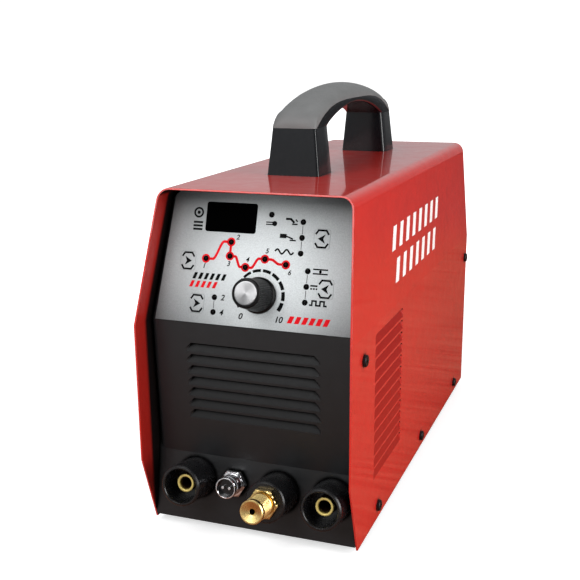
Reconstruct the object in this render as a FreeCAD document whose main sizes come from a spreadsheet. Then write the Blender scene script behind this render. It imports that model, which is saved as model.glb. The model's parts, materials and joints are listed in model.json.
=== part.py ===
import FreeCAD, Part
import Sketcher
import math
import os
import re
from FreeCAD import Placement, Rotation, Vector

# Portable inverter TIG welder.  Millimetres.  +Z up, the front faces -Y, +X is on the right of
# somebody facing the front.  The origin is on the floor under the middle of the outer box.

DOC = FreeCAD.newDocument("TigWelder")

SIZES = [
    # case
    ("case_front", -196.0),          # foremost front edge of the cover
    ("case_length", 394.0),
    ("case_width", 155.0),
    ("case_height", 241.7),          # cover only, from its lower edge
    ("foot_drop", 4.0),              # floor to the cover's lower edge
    ("cover_sheet", 1.2),
    ("lean_start", 151.0),           # height at which the side walls start to lean inwards
    ("lean_in", 8.0),
    ("roll_radius", 9.0),
    ("nose_low", 52.0),              # height at which the front edge starts to rake back below
    ("toe_setback", 17.8),
    ("top_setback", 28.8),
    # front panel profile, measured back from the front edge and up from the cover's lower edge
    ("panel_sheet", 1.5),
    ("panel_half", 76.0),
    ("panel_half_top", 68.2),
    ("panel_depth", 14.0),
    ("toe_back", 15.9),
    ("toe_rise", 3.0),
    ("waist_back", 24.5),
    ("brow_back", 20.0),
    ("brow_lean", 17.6),             # degrees, fascia from vertical
    ("panel_top", 237.5),
    # fascia
    ("overlay_sheet", 0.5),
    ("overlay_rise", 90.4),
    ("overlay_half", 71.6),
    ("overlay_half_top", 64.6),
    ("overlay_corner", 5.5),
    ("board_gap", 12.0),             # panel's outer face to the control board's face
    ("board_sheet", 1.6),
    ("lamp_radius", 1.95),
    ("key_width", 11.0),
    ("key_rise", 13.0),
    ("key_gap", 0.12),
    ("shaft_radius", 3.0),
    ("knob_radius", 11.2),
    ("knob_length", 24.0),
    # connectors
    ("socket_radius", 14.5),
    ("socket_reach", 28.0),
    ("socket_recess", 8.5),
    ("socket_wall", 2.5),
    ("insert_radius", 6.7),
    ("plug_radius", 4.5),
    ("nipple_radius", 8.33),
    ("nipple_reach", 23.5),
    ("signal_radius", 7.5),
    ("signal_reach", 17.5),
    ("free_relief", 0.3),            # what a screwed pin's free end is turned down by
    # rear
    ("rear_inset", 6.0),             # cover's rear edge to the rear panel's outer face
    ("rear_sheet", 1.5),
    ("inlet_reach", 28.73),           # gas inlet beyond the cover's rear edge
    ("fan_size", 120.0),
    ("fan_depth", 38.0),
    ("fan_rise", 128.0),             # cover's lower edge to the fan's centre
    ("fan_hole", 57.0),
    ("earth_radius", 3.0),
    # base
    ("base_sheet", 1.5),
    ("base_wall", 20.0),
    # handle
    ("handle_middle", 219.5),        # centre of the handle behind the cover's front edge
    ("handle_half_length", 104.9),
    ("handle_leg", 29.0),
    ("handle_half_width", 20.2),
    ("handle_half_top", 16.6),
    ("handle_rise", 63.2),
    ("handle_shift", -3.0),
    ("grip_start", 34.0),
    # fasteners
    ("screw_head", 4.2),
    ("screw_shank", 1.9),
]
WORDS = {word for word, value in SIZES}


def make_sheet():
    sheet = DOC.addObject("Spreadsheet::Sheet", "Sizes")
    for row, (word, value) in enumerate(SIZES, start=1):
        sheet.set("A%d" % row, word)
        sheet.set("B%d" % row, str(value))
        sheet.setAlias("B%d" % row, word)
    DOC.recompute()
    return sheet


SHEET = make_sheet()


def size(word):
    return float(SHEET.get(word))


def in_words(text):
    """Turns the sheet's words in an expression into references to its cells."""
    return re.sub("[a-z_]{3,}", lambda m: "Sizes." + m.group() if m.group() in WORDS else m.group(), text)


def fix(obj, prop, value):
    """Gives a property a number, or binds it to an expression in the sheet's words."""
    if isinstance(value, str):
        obj.setExpression(prop, in_words(value))
    else:
        setattr(obj, prop, value)


# ---------------------------------------------------------------- frames
ALONG_X = Rotation(Vector(0, 0, 1), Vector(1, 0, 0))
ALONG_Y = Rotation(Vector(0, 0, 1), Vector(0, 1, 0))
FRONTWARDS = Rotation(Vector(0, 0, 1), Vector(0, -1, 0))
UPRIGHT = Rotation()

FRONT = size("case_front")
FLOOR = size("foot_drop")
REAR = FRONT + size("case_length")
REAR_FACE = REAR - size("rear_inset")
TOP = FLOOR + size("case_height")
BROW = Vector(0, FRONT + size("brow_back"), FLOOR + size("lean_start"))
WAIST = Vector(0, FRONT + size("waist_back"), FLOOR + size("nose_low"))
TOE = Vector(0, FRONT + size("toe_back"), FLOOR + size("toe_rise"))


def face_frame(origin, lean):
    """A frame on a panel face: X to the right, Y up the face and Z out of it."""
    return Placement(origin, Rotation(Vector(1, 0, 0), 90 - lean))


def lean_between(low, high):
    return math.degrees(math.atan2(high.y - low.y, high.z - low.z))


FASCIA = face_frame(BROW, size("brow_lean"))
GRILLE = face_frame(BROW, lean_between(WAIST, BROW))
SOCKETS = face_frame(WAIST, lean_between(TOE, WAIST))


def on_face(frame, across, up, out=0.0):
    """A placement on a face frame, with its own origin moved."""
    return frame.multiply(Placement(Vector(across, up, out), Rotation()))


# ---------------------------------------------------------------- building blocks
PARTS = {}


def keep(node, obj):
    """Registers an object as one of the assembly's sub-parts."""
    obj.Label = node
    PARTS[node] = obj
    return obj


def place(obj, at=(0, 0, 0), turn=UPRIGHT):
    numbers = [0 if isinstance(value, str) else value for value in at]
    obj.Placement = Placement(Vector(*numbers), turn)
    for axis, value in zip("xyz", at):
        if isinstance(value, str):
            obj.setExpression("Placement.Base." + axis, in_words(value))
    return obj


def box(name, length, width, height, at=(0, 0, 0), turn=UPRIGHT):
    obj = DOC.addObject("Part::Box", name)
    for prop, value in (("Length", length), ("Width", width), ("Height", height)):
        fix(obj, prop, value)
    return place(obj, at, turn)


def rod(name, radius, length, at=(0, 0, 0), turn=UPRIGHT):
    obj = DOC.addObject("Part::Cylinder", name)
    fix(obj, "Radius", radius)
    fix(obj, "Height", length)
    return place(obj, at, turn)


def cone(name, low_radius, high_radius, length, at=(0, 0, 0), turn=UPRIGHT):
    obj = DOC.addObject("Part::Cone", name)
    fix(obj, "Radius1", low_radius)
    fix(obj, "Radius2", high_radius)
    fix(obj, "Height", length)
    return place(obj, at, turn)


def hexagon(name, across_flats, length, at=(0, 0, 0), turn=UPRIGHT):
    obj = DOC.addObject("Part::Prism", name)
    obj.Polygon = 6
    fix(obj, "Circumradius", across_flats / math.sqrt(3))
    fix(obj, "Height", length)
    return place(obj, at, turn)


def fuse(name, pieces):
    obj = DOC.addObject("Part::MultiFuse", name)
    obj.Shapes = pieces
    obj.Refine = True
    return obj


def group(name, pieces):
    """Separate solids in one object."""
    obj = DOC.addObject("Part::Compound", name)
    obj.Links = pieces
    return obj


def cut(name, base, tools):
    obj = DOC.addObject("Part::Cut", name)
    obj.Base = base
    obj.Tool = tools[0] if len(tools) == 1 else group(name + "_tools", tools)
    return obj


def common(name, first, second):
    obj = DOC.addObject("Part::Common", name)
    obj.Base = first
    obj.Tool = second
    return obj


def raw(name, shape):
    obj = DOC.addObject("Part::Feature", name)
    obj.Shape = shape
    return obj


def new_body(name):
    return DOC.addObject("PartDesign::Body", name)


def plane_of(body, role):
    for feature in body.Origin.OriginFeatures:
        if feature.Role == role:
            return feature
    raise ValueError(role)


def new_sketch(body, name, role="XY_Plane", offset=0.0):
    sketch = body.newObject("Sketcher::SketchObject", name)
    sketch.AttachmentSupport = [(plane_of(body, role), "")]
    sketch.MapMode = "FlatFace"
    sketch.AttachmentOffset = Placement(Vector(0, 0, offset), Rotation())
    return sketch


def draw_polygon(sketch, corners):
    """Closed outline of straight sides through (x, y) corners; each corner is pinned."""
    first = sketch.GeometryCount
    count = len(corners)
    for index, start in enumerate(corners):
        end = corners[(index + 1) % count]
        sketch.addGeometry(Part.LineSegment(Vector(start[0], start[1], 0), Vector(end[0], end[1], 0)))
    for index in range(count):
        following = first + (index + 1) % count
        sketch.addConstraint(Sketcher.Constraint("Coincident", first + index, 2, following, 1))
    return first


def draw_rectangle(sketch, width, height, centre=(0.0, 0.0)):
    """Rectangle whose width and height are bound to expressions in the sheet's words."""
    half = 5.0
    x, y = centre
    first = draw_polygon(sketch, [(x - half, y - half), (x + half, y - half),
                                  (x + half, y + half), (x - half, y + half)])
    for index, kind in enumerate(("Horizontal", "Vertical", "Horizontal", "Vertical")):
        sketch.addConstraint(Sketcher.Constraint(kind, first + index))
    name = "c%d" % first
    wide = sketch.addConstraint(Sketcher.Constraint("DistanceX", first, 1, first, 2, 2 * half))
    high = sketch.addConstraint(Sketcher.Constraint("DistanceY", first + 1, 1, first + 1, 2, 2 * half))
    sketch.renameConstraint(wide, name + "wide")
    sketch.renameConstraint(high, name + "high")
    sketch.setExpression("Constraints." + name + "wide", in_words(width))
    sketch.setExpression("Constraints." + name + "high", in_words(height))
    left = sketch.addConstraint(Sketcher.Constraint("DistanceX", -1, 1, first, 2, x + half))
    low = sketch.addConstraint(Sketcher.Constraint("DistanceY", -1, 1, first + 1, 2, y + half))
    sketch.renameConstraint(left, name + "right")
    sketch.renameConstraint(low, name + "top")
    sketch.setExpression("Constraints." + name + "right", in_words("(%s) / 2 + %f" % (width, x)))
    sketch.setExpression("Constraints." + name + "top", in_words("(%s) / 2 + %f" % (height, y)))


def draw_circle(sketch, radius, centre=(0.0, 0.0)):
    """Circle whose radius is bound to an expression in the sheet's words."""
    circle = sketch.addGeometry(Part.Circle(Vector(centre[0], centre[1], 0), Vector(0, 0, 1), 5.0))
    ring = sketch.addConstraint(Sketcher.Constraint("Radius", circle, 5.0))
    sketch.renameConstraint(ring, "radius%d" % circle)
    sketch.setExpression("Constraints.radius%d" % circle, in_words(radius))
    sketch.addConstraint(Sketcher.Constraint("DistanceX", -1, 1, circle, 3, centre[0]))
    sketch.addConstraint(Sketcher.Constraint("DistanceY", -1, 1, circle, 3, centre[1]))


def pad(body, sketch, length, both_ways=False, backwards=False):
    feature = body.newObject("PartDesign::Pad", sketch.Name + "_pad")
    feature.Profile = sketch
    fix(feature, "Length", length)
    feature.Midplane = both_ways
    feature.Reversed = backwards
    return feature


def pocket(body, sketch, length=None, both_ways=False, backwards=False):
    feature = body.newObject("PartDesign::Pocket", sketch.Name + "_pocket")
    feature.Profile = sketch
    if length is None:
        feature.Type = "ThroughAll"
    else:
        fix(feature, "Length", length)
    feature.Midplane = both_ways
    feature.Reversed = backwards
    return feature


def fillet(body, base, edges, radius):
    DOC.recompute()
    feature = body.newObject("PartDesign::Fillet", body.Name + "_fillet")
    feature.Base = (base, edges)
    fix(feature, "Radius", radius)
    return feature


def edges_where(feature, test):
    DOC.recompute()
    return ["Edge%d" % (i + 1) for i, edge in enumerate(feature.Shape.Edges) if test(edge)]


def faces_where(feature, test):
    DOC.recompute()
    return ["Face%d" % (i + 1) for i, face in enumerate(feature.Shape.Faces) if test(face)]


def normal_of(face):
    u_low, u_high, v_low, v_high = face.ParameterRange
    return face.normalAt((u_low + u_high) / 2, (v_low + v_high) / 2)


def shell(body, base, open_faces, wall):
    """Hollows a solid to a constant wall, leaving some faces open."""
    feature = body.newObject("PartDesign::Thickness", body.Name + "_shell")
    feature.Base = (base, open_faces)
    fix(feature, "Value", wall)
    feature.Reversed = True
    feature.Mode = 0
    feature.Join = 1
    return feature


def turned(node, profile, placement=None):
    """A turned piece: closed (radius, height) profile revolved about its own Z."""
    body = new_body(node)
    sketch = new_sketch(body, node + "_profile", "XZ_Plane")
    draw_polygon(sketch, profile)
    feature = body.newObject("PartDesign::Revolution", node + "_turning")
    feature.Profile = sketch
    feature.ReferenceAxis = (sketch, ["V_Axis"])
    feature.Angle = 360
    if placement is not None:
        body.Placement = placement
    return body


def closed_solid(points, faces):
    """A flat-faced solid from its corners and the corner numbers of each face."""
    sides = []
    for face in faces:
        loop = [Vector(*points[number]) for number in face]
        sides.append(Part.Face(Part.makePolygon(loop + loop[:1])))
    return Part.makeSolid(Part.makeShell(sides))


def louvre_wedge(foot, mouth, rise, corner, surface, depth, brow):
    """One pressed louvre: flush along its foot, sunk to depth along its mouth, cut corners."""
    low, high = foot / 2, mouth / 2
    points = [(-low, 0, surface), (low, 0, surface), (low, rise - corner, surface), (high, rise, surface),
              (-high, rise, surface), (-low, rise - corner, surface),
              (-high, rise - brow, -depth), (high, rise - brow, -depth)]
    faces = [(0, 1, 2, 3, 4, 5), (0, 1, 7, 6), (3, 4, 6, 7), (1, 2, 7), (2, 3, 7), (5, 0, 6), (4, 5, 6)]
    return closed_solid(points, faces)


def louvre_row(frame, foot, mouth, rise, corner, depth, sheet, levels):
    """The recesses and the inside swellings of a column of louvres on a face frame."""
    recess = louvre_wedge(foot, mouth, rise, corner, 0.05, depth, 0.4)
    swelling = louvre_wedge(foot + 2 * sheet, mouth + 2 * sheet, rise - 0.7, corner, -0.5 * sheet,
                            depth + sheet, 0.4)
    recesses, swellings = [], []
    for level in levels:
        for shape, row in ((recess, recesses), (swelling, swellings)):
            copy = shape.copy()
            copy.Placement = on_face(frame, 0, level)
            row.append(copy)
    return recesses, swellings


def screw_shape(head_radius, head_height, shank_radius, length):
    """Pan-head screw standing on its head's underside, head towards +Z, with a cross recess."""
    edge = 0.45 * head_height
    head = Part.makeCylinder(head_radius, head_height)
    rim = [edge_ for edge_ in head.Edges if abs(edge_.BoundBox.ZMin - head_height) < 1e-6
           and abs(edge_.BoundBox.ZMax - head_height) < 1e-6]
    head = head.makeFillet(edge, rim)
    shank = Part.makeCylinder(shank_radius, length, Vector(0, 0, -length))
    slot = 0.28 * head_radius
    reach = 1.15 * head_radius
    for long_side, short_side in ((reach, slot), (slot, reach)):
        corner = Vector(-long_side / 2, -short_side / 2, 0.45 * head_height)
        head = head.cut(Part.makeBox(long_side, short_side, head_height, corner))
    return head.fuse(shank).removeSplitter()


def screws(node, head_radius, head_height, shank_radius, length, placements):
    """One node of identical screws."""
    shape = screw_shape(head_radius, head_height, shank_radius, length)
    copies = []
    for placement in placements:
        copy = shape.copy()
        copy.Placement = placement
        copies.append(copy)
    return keep(node, raw(node, Part.makeCompound(copies)))


def round_holes(name, radius, length, places, turn):
    return [rod("%s_%d" % (name, i), radius, length, at, turn) for i, at in enumerate(places)]


# ---------------------------------------------------------------- cover and base
CORNER_CLIP = 7.0                    # top corners of both end panels, inside the cover's roll
SIDE_SCREWS = [(28.0, 134.0), (384.0, 130.0), (69.0, 10.0), (206.5, 10.0), (350.0, 10.0)]


def side_frame(side):
    """Face frame on a side wall, its origin on the front edge at the cover's lower edge."""
    across = Vector(0, side, 0)
    turn = Rotation(across, Vector(0, 0, 1), Vector(side, 0, 0), "ZXY")
    return Placement(Vector(side * size("case_width") / 2, FRONT, FLOOR), turn)


def case_outline(low, high, roof_half, wall_half, clip=0.0):
    """Front view of the case: upright walls that lean in towards the roof, corners clipped."""
    shoulder = FLOOR + size("lean_start")
    right = [(wall_half, low), (wall_half, shoulder)]
    if clip:
        step = clip * (wall_half - roof_half) / (high - shoulder)
        right += [(roof_half + step, high - clip), (roof_half - clip, high)]
    else:
        right.append((roof_half, high))
    return right + [(-x, z) for x, z in reversed(right)]


def make_cover():
    half = size("case_width") / 2
    body = new_body("cover_shell")
    section = new_sketch(body, "cover_section", "XZ_Plane", -FRONT)
    draw_polygon(section, case_outline(FLOOR, TOP, half - size("lean_in"), half))
    block = pad(body, section, "case_length", backwards=True)
    edges = edges_where(block, lambda e: e.BoundBox.ZMin > TOP - 0.01 and e.BoundBox.YLength > 100)
    rolled = fillet(body, block, edges, "roll_radius")
    ends = faces_where(rolled, lambda f: abs(normal_of(f).y) > 0.99 or normal_of(f).z < -0.99)
    shell(body, rolled, ends, "cover_sheet")
    nose = new_sketch(body, "cover_nose", "YZ_Plane")
    toe = size("toe_setback")
    knee = FLOOR + size("nose_low")
    brow = FLOOR + size("lean_start")
    top_run = size("top_setback") / (TOP - brow)
    low_run = toe / size("nose_low")
    draw_polygon(nose, [(FRONT - 5, FLOOR - 5), (FRONT + toe + 5 * low_run, FLOOR - 5), (FRONT, knee),
                        (FRONT, brow), (FRONT + (TOP + 5 - brow) * top_run, TOP + 5), (FRONT - 5, TOP + 5)])
    pocket(body, nose, 400.0, both_ways=True)

    sheet = size("cover_sheet")
    recesses, swellings = [], []
    for side in (1, -1):
        frame = on_face(side_frame(side), side * 93.75, 0)
        rows = louvre_row(frame, 76.5, 72.0, 7.6, 2.2, 3.0, sheet, [36.0 + 9.1 * n for n in range(12)])
        recesses += rows[0]
        swellings += rows[1]
    body = fuse("cover_pressed", [body, raw("side_swellings", Part.makeCompound(swellings))])
    holes = []
    for side in (1, -1):
        for back, rise in SIDE_SCREWS:
            holes.append((side * half - 5, FRONT + back, FLOOR + rise))
    tools = round_holes("side_hole", "screw_shank + 0.1", 10.0, holes, ALONG_X)
    tools += round_holes("roof_hole", "screw_shank + 0.3", 10.0,
                         [(x, y, TOP - 6) for x, y in handle_screw_places()], UPRIGHT)
    tools.append(raw("side_recesses", Part.makeCompound(recesses)))
    keep("cover", cut("cover_cut", body, tools))

    places = []
    for side in (1, -1):
        frame = side_frame(side)
        places += [on_face(frame, side * back, rise) for back, rise in SIDE_SCREWS]
    screws("cover_screws", size("screw_head"), 2.4, size("screw_shank"), 7.0, places)


FEET = [(x, y) for x in (-54.0, 54.0) for y in (FRONT + 62.0, REAR - 62.0)]


def make_base():
    half = 75.9
    low = FLOOR + 1.5
    plate_top = low + size("base_sheet")
    wall_top = low + size("base_wall")
    front, rear = FRONT + 20.0, REAR_FACE - 2.0
    body = new_body("base_channel")
    section = new_sketch(body, "base_section", "XZ_Plane", -front)
    inside = half - size("base_sheet")
    draw_polygon(section, [(-half, low), (half, low), (half, wall_top), (inside, wall_top),
                           (inside, plate_top), (-inside, plate_top), (-inside, wall_top), (-half, wall_top)])
    pad(body, section, rear - front, backwards=True)
    ends = new_sketch(body, "base_ends", "YZ_Plane")
    for start, end in ((front - 1, FRONT + 42.0), (REAR_FACE - 17.0, rear + 1)):
        draw_polygon(ends, [(start, plate_top), (end, plate_top), (end, wall_top + 1), (start, wall_top + 1)])
    pocket(body, ends, 400.0, both_ways=True)
    tools = round_holes("foot_hole", 2.1, 6.0, [(x, y, low - 1) for x, y in FEET], UPRIGHT)
    places = [(side * half - 5, FRONT + back, FLOOR + rise) for side in (1, -1)
              for back, rise in SIDE_SCREWS[2:]]
    tools += round_holes("pan_hole", "screw_shank + 0.1", 10.0, places, ALONG_X)
    keep("base_pan", cut("base_cut", body, tools))

    feet, fixings = [], []
    for number, (x, y) in enumerate(FEET):
        blank = cone("foot_%d" % number, 8.5, 10.0, low, (x, y, 0))
        well = rod("foot_well_%d" % number, 4.6, 3.0, (x, y, -0.5))
        bore = rod("foot_bore_%d" % number, 2.1, 10.0, (x, y, -1))
        feet.append(cut("foot_cut_%d" % number, blank, [well, bore]))
        fixings.append(Placement(Vector(x, y, 2.5), Rotation(Vector(1, 0, 0), 180)))
    keep("rubber_feet", group("feet", feet))
    screws("foot_screws", 4.0, 2.0, 1.95, 7.0, fixings)


# ---------------------------------------------------------------- front panel and fascia
LAMPS = [(7.8, 77.2), (30.6, 73.4), (30.7, 62.9), (30.8, 52.5), (37.0, 41.2), (37.0, 30.8), (37.0, 20.4),
         (-28.2, 18.7), (-28.2, 8.6), (-37.3, 44.8), (-19.7, 57.1), (-19.7, 47.5), (-7.7, 40.6),
         (5.9, 47.1), (21.2, 44.3)]
KEYS = {"process_key": (44.7, 63.0), "waveform_key": (50.3, 30.2), "parameter_key": (-50.6, 42.4),
        "trigger_key": (-41.1, 13.6)}
KNOB = (4.6, 22.4)
DISPLAY = (-21.4, 73.7)
DISPLAY_SIZE = (37.4, 20.4)
LEFT_SOCKET = (-44.3, -17.4)
RIGHT_SOCKET = (58.6, -18.2)
TORCH_SOCKET = (19.0, -19.3)
SIGNAL_SOCKET = (-14.6, -17.2)


def key_blank(name, at, grow, depth, out):
    """Rounded-rectangle block on the fascia frame, grown all round by a clearance."""
    body = new_body(name)
    sketch = new_sketch(body, name + "_outline")
    draw_rectangle(sketch, "key_width + %f" % (2 * grow), "key_rise + %f" % (2 * grow))
    block = pad(body, sketch, depth, backwards=True)
    edges = edges_where(block, lambda e: e.BoundBox.ZLength > depth - 0.01 and e.BoundBox.XLength < 0.01)
    fillet(body, block, edges, 1.6 + grow)
    body.Placement = on_face(FASCIA, at[0], at[1], out)
    return body


def front_blank(name, inset, depth, radius):
    """The front panel's outer form, or with an inset the hollow behind its sheet."""
    half, half_top = size("panel_half") - inset, size("panel_half_top") - inset
    top = FLOOR + size("panel_top") - inset
    low = TOE.z + inset
    run = math.tan(math.radians(size("brow_lean")))
    low_run = (WAIST.y - TOE.y) / (WAIST.z - TOE.z)
    body = new_body(name)
    profile = new_sketch(body, name + "_profile", "YZ_Plane")
    front_line = [(TOE.y + inset * (1 + low_run), low), (WAIST.y + inset, WAIST.z), (BROW.y + inset, BROW.z),
                  (BROW.y + inset + (top - BROW.z) * run, top)]
    back_line = [(y + depth, z) for y, z in reversed(front_line)]
    draw_polygon(profile, back_line + front_line)
    block = pad(body, profile, 2 * half, both_ways=True)
    trim = new_sketch(body, name + "_trim", "XZ_Plane")
    draw_polygon(trim, case_outline(low, top, half_top, half, CORNER_CLIP))
    outside = half + 20
    draw_polygon(trim, [(-outside, low - 20), (outside, low - 20), (outside, top + 20), (-outside, top + 20)])
    trimmed = pocket(body, trim, 900.0, both_ways=True)

    def upper_side_edge(edge):
        bounds = edge.BoundBox
        middle = edge.valueAt((edge.FirstParameter + edge.LastParameter) / 2)
        on_front = middle.y < BROW.y + max(0.0, middle.z - BROW.z) * run + 6
        return bounds.ZLength > 60 and bounds.XLength < 15 and on_front and middle.z > WAIST.z
    fillet(body, trimmed, edges_where(trimmed, upper_side_edge), radius)
    return body


def make_front_panel():
    sheet = size("panel_sheet")
    depth = size("panel_depth")
    outer = front_blank("front_shell", 0.0, depth, 4.5)
    hollow = front_blank("front_hollow", sheet, depth + 10.0, 4.5 - sheet)
    body = cut("front_tray", outer, [hollow])

    levels = [-14.9 - 6.6 - 8.3 * n for n in range(7)]
    recesses, swellings = louvre_row(GRILLE, 98.6, 90.6, 6.6, 4.2, 2.8, sheet, levels)
    body = fuse("front_pressed", [body, raw("front_swellings", Part.makeCompound(swellings))])

    tools = [raw("front_recesses", Part.makeCompound(recesses))]
    for number, (x, y) in enumerate(LAMPS):
        frame = on_face(FASCIA, x, y, -3)
        tools.append(rod("lamp_hole_%d" % number, "lamp_radius + 0.05", 6.0))
        tools[-1].Placement = frame
        fix(tools[-1], "Radius", "lamp_radius + 0.05")
    for name, at in KEYS.items():
        tools.append(key_blank(name + "_hole", at, size("key_gap"), 6.0, 3.0))
    window = box("window_hole", DISPLAY_SIZE[0] - 3, DISPLAY_SIZE[1] - 3, 8.0)
    window.Placement = on_face(FASCIA, DISPLAY[0] - DISPLAY_SIZE[0] / 2 + 1.5,
                               DISPLAY[1] - DISPLAY_SIZE[1] / 2 + 1.5, -4)
    tools.append(window)
    tools.append(rod("pot_hole", 3.8, 8.0))
    tools[-1].Placement = on_face(FASCIA, KNOB[0], KNOB[1], -4)
    for name, at, radius in (("left_hole", LEFT_SOCKET, 10.6), ("right_hole", RIGHT_SOCKET, 10.6),
                             ("torch_hole", TORCH_SOCKET, 10.6), ("signal_hole", SIGNAL_SOCKET, 7.1)):
        tools.append(rod(name, radius, 8.0))
        tools[-1].Placement = on_face(SOCKETS, at[0], at[1], -4)
    half = size("panel_half")
    places = [(side * half - 5, FRONT + SIDE_SCREWS[0][0], FLOOR + SIDE_SCREWS[0][1]) for side in (1, -1)]
    tools += round_holes("front_side_hole", "screw_shank + 0.1", 10.0, places, ALONG_X)
    keep("front_panel", cut("front_cut", body, tools))


def make_overlay():
    body = new_body("overlay_film")
    sketch = new_sketch(body, "overlay_outline")
    low, high, rise = size("overlay_half"), size("overlay_half_top"), size("overlay_rise")
    draw_polygon(sketch, [(-low, 0.3), (low, 0.3), (high, rise), (-high, rise)])
    film = pad(body, sketch, "overlay_sheet")
    corners = edges_where(film, lambda e: e.BoundBox.XLength < 0.01 and e.BoundBox.YMin > rise - 1)
    fillet(body, film, corners, "overlay_corner")
    body.Placement = FASCIA
    tools = []
    for number, (x, y) in enumerate(LAMPS):
        tools.append(rod("film_hole_%d" % number, "lamp_radius + 0.05", 6.0))
        tools[-1].Placement = on_face(FASCIA, x, y, -3)
    for name, at in KEYS.items():
        tools.append(key_blank(name + "_film_hole", at, size("key_gap"), 6.0, 3.0))
    tools.append(window_blank("film_window_hole", 0.03, 6.0, 3.0))
    tools.append(rod("film_shaft_hole", 6.4, 6.0))
    tools[-1].Placement = on_face(FASCIA, KNOB[0], KNOB[1], -3)
    keep("fascia_overlay", cut("overlay_cut", body, tools))


def window_blank(name, grow, depth, out):
    body = new_body(name)
    sketch = new_sketch(body, name + "_outline")
    draw_rectangle(sketch, "%f" % (DISPLAY_SIZE[0] + 2 * grow), "%f" % (DISPLAY_SIZE[1] + 2 * grow))
    block = pad(body, sketch, depth, backwards=True)
    edges = edges_where(block, lambda e: e.BoundBox.ZLength > depth - 0.01 and e.BoundBox.XLength < 0.01)
    fillet(body, block, edges, 1.8 + grow)
    body.Placement = on_face(FASCIA, DISPLAY[0], DISPLAY[1], out)
    return body


BOARD = [(-60.0, 4.0), (60.0, 84.0)]
BOARD_POSTS = [(-56.0, 76.0), (56.0, 76.0), (-56.0, 5.0 + 3.0), (56.0, 5.0 + 3.0)]


def make_controls():
    wall = size("panel_sheet")
    gap = size("board_gap")
    film = size("overlay_sheet")
    keep("display_window", window_blank("window_pane", 0.0, film, film))

    lamps = []
    for number, (x, y) in enumerate(LAMPS):
        stem = rod("lamp_%d" % number, "lamp_radius", gap + film)
        dome = DOC.addObject("Part::Sphere", "lamp_dome_%d" % number)
        fix(dome, "Radius", "lamp_radius * 1.6")
        cap_height = 0.55
        radius = size("lamp_radius")
        crown = radius * 1.6
        drop = math.sqrt(crown ** 2 - radius ** 2)
        stem.Placement = on_face(FASCIA, x, y, -gap)
        dome.Placement = on_face(FASCIA, x, y, film - drop)
        zone = rod("lamp_zone_%d" % number, "lamp_radius", cap_height + drop + 3)
        zone.Placement = on_face(FASCIA, x, y, film - 2)
        tip = common("lamp_tip_%d" % number, dome, zone)
        lamps.append(fuse("lamp_whole_%d" % number, [stem, tip]))
    keep("indicator_lamps", group("lamps", lamps))

    body = new_body("board_blank")
    sketch = new_sketch(body, "board_outline")
    (left, low), (right, high) = BOARD
    draw_polygon(sketch, [(left, low), (right, low), (right, high), (left, high)])
    pad(body, sketch, "board_sheet", backwards=True)
    body.Placement = on_face(FASCIA, 0, 0, -gap)
    holes = []
    for number, (x, y) in enumerate(BOARD_POSTS):
        holes.append(rod("board_post_hole_%d" % number, 1.6, 6.0))
        holes[-1].Placement = on_face(FASCIA, x, y, -gap - 4)
    keep("control_board", cut("board_cut", body, holes))
    posts = []
    for number, (x, y) in enumerate(BOARD_POSTS):
        pillar = hexagon("post_%d" % number, 5.5, gap - wall)
        pillar.Placement = on_face(FASCIA, x, y, -gap)
        peg = rod("post_peg_%d" % number, 1.5, 4.0)
        peg.Placement = on_face(FASCIA, x, y, -gap - 4)
        posts.append(fuse("post_whole_%d" % number, [pillar, peg]))
    keep("board_posts", group("posts", posts))
    module = box("module_block", 34.0, 17.0, gap - wall - 1.0)
    module.Placement = on_face(FASCIA, DISPLAY[0] - 17.0, DISPLAY[1] - 8.5, -gap)
    keep("display_module", module)

    switches = []
    for name, at in KEYS.items():
        block = box(name + "_switch", 6.0, 6.0, 4.0)
        block.Placement = on_face(FASCIA, at[0] - 3, at[1] - 3, -gap)
        bore = rod(name + "_bore", 1.65, 3.0)
        bore.Placement = on_face(FASCIA, at[0], at[1], -gap + 1.0)
        switches.append(cut(name + "_switch_cut", block, [bore]))
        cap = key_blank(name + "_cap", at, 0.0, wall + film + 0.9, film + 0.15)
        stem_low = -gap + 2.0
        stem = rod(name + "_stem", 1.6, -stem_low - wall)
        stem.Placement = on_face(FASCIA, at[0], at[1], stem_low)
        keep(name, fuse(name + "_whole", [cap, stem]))
    keep("key_switches", group("switches", switches))


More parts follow.
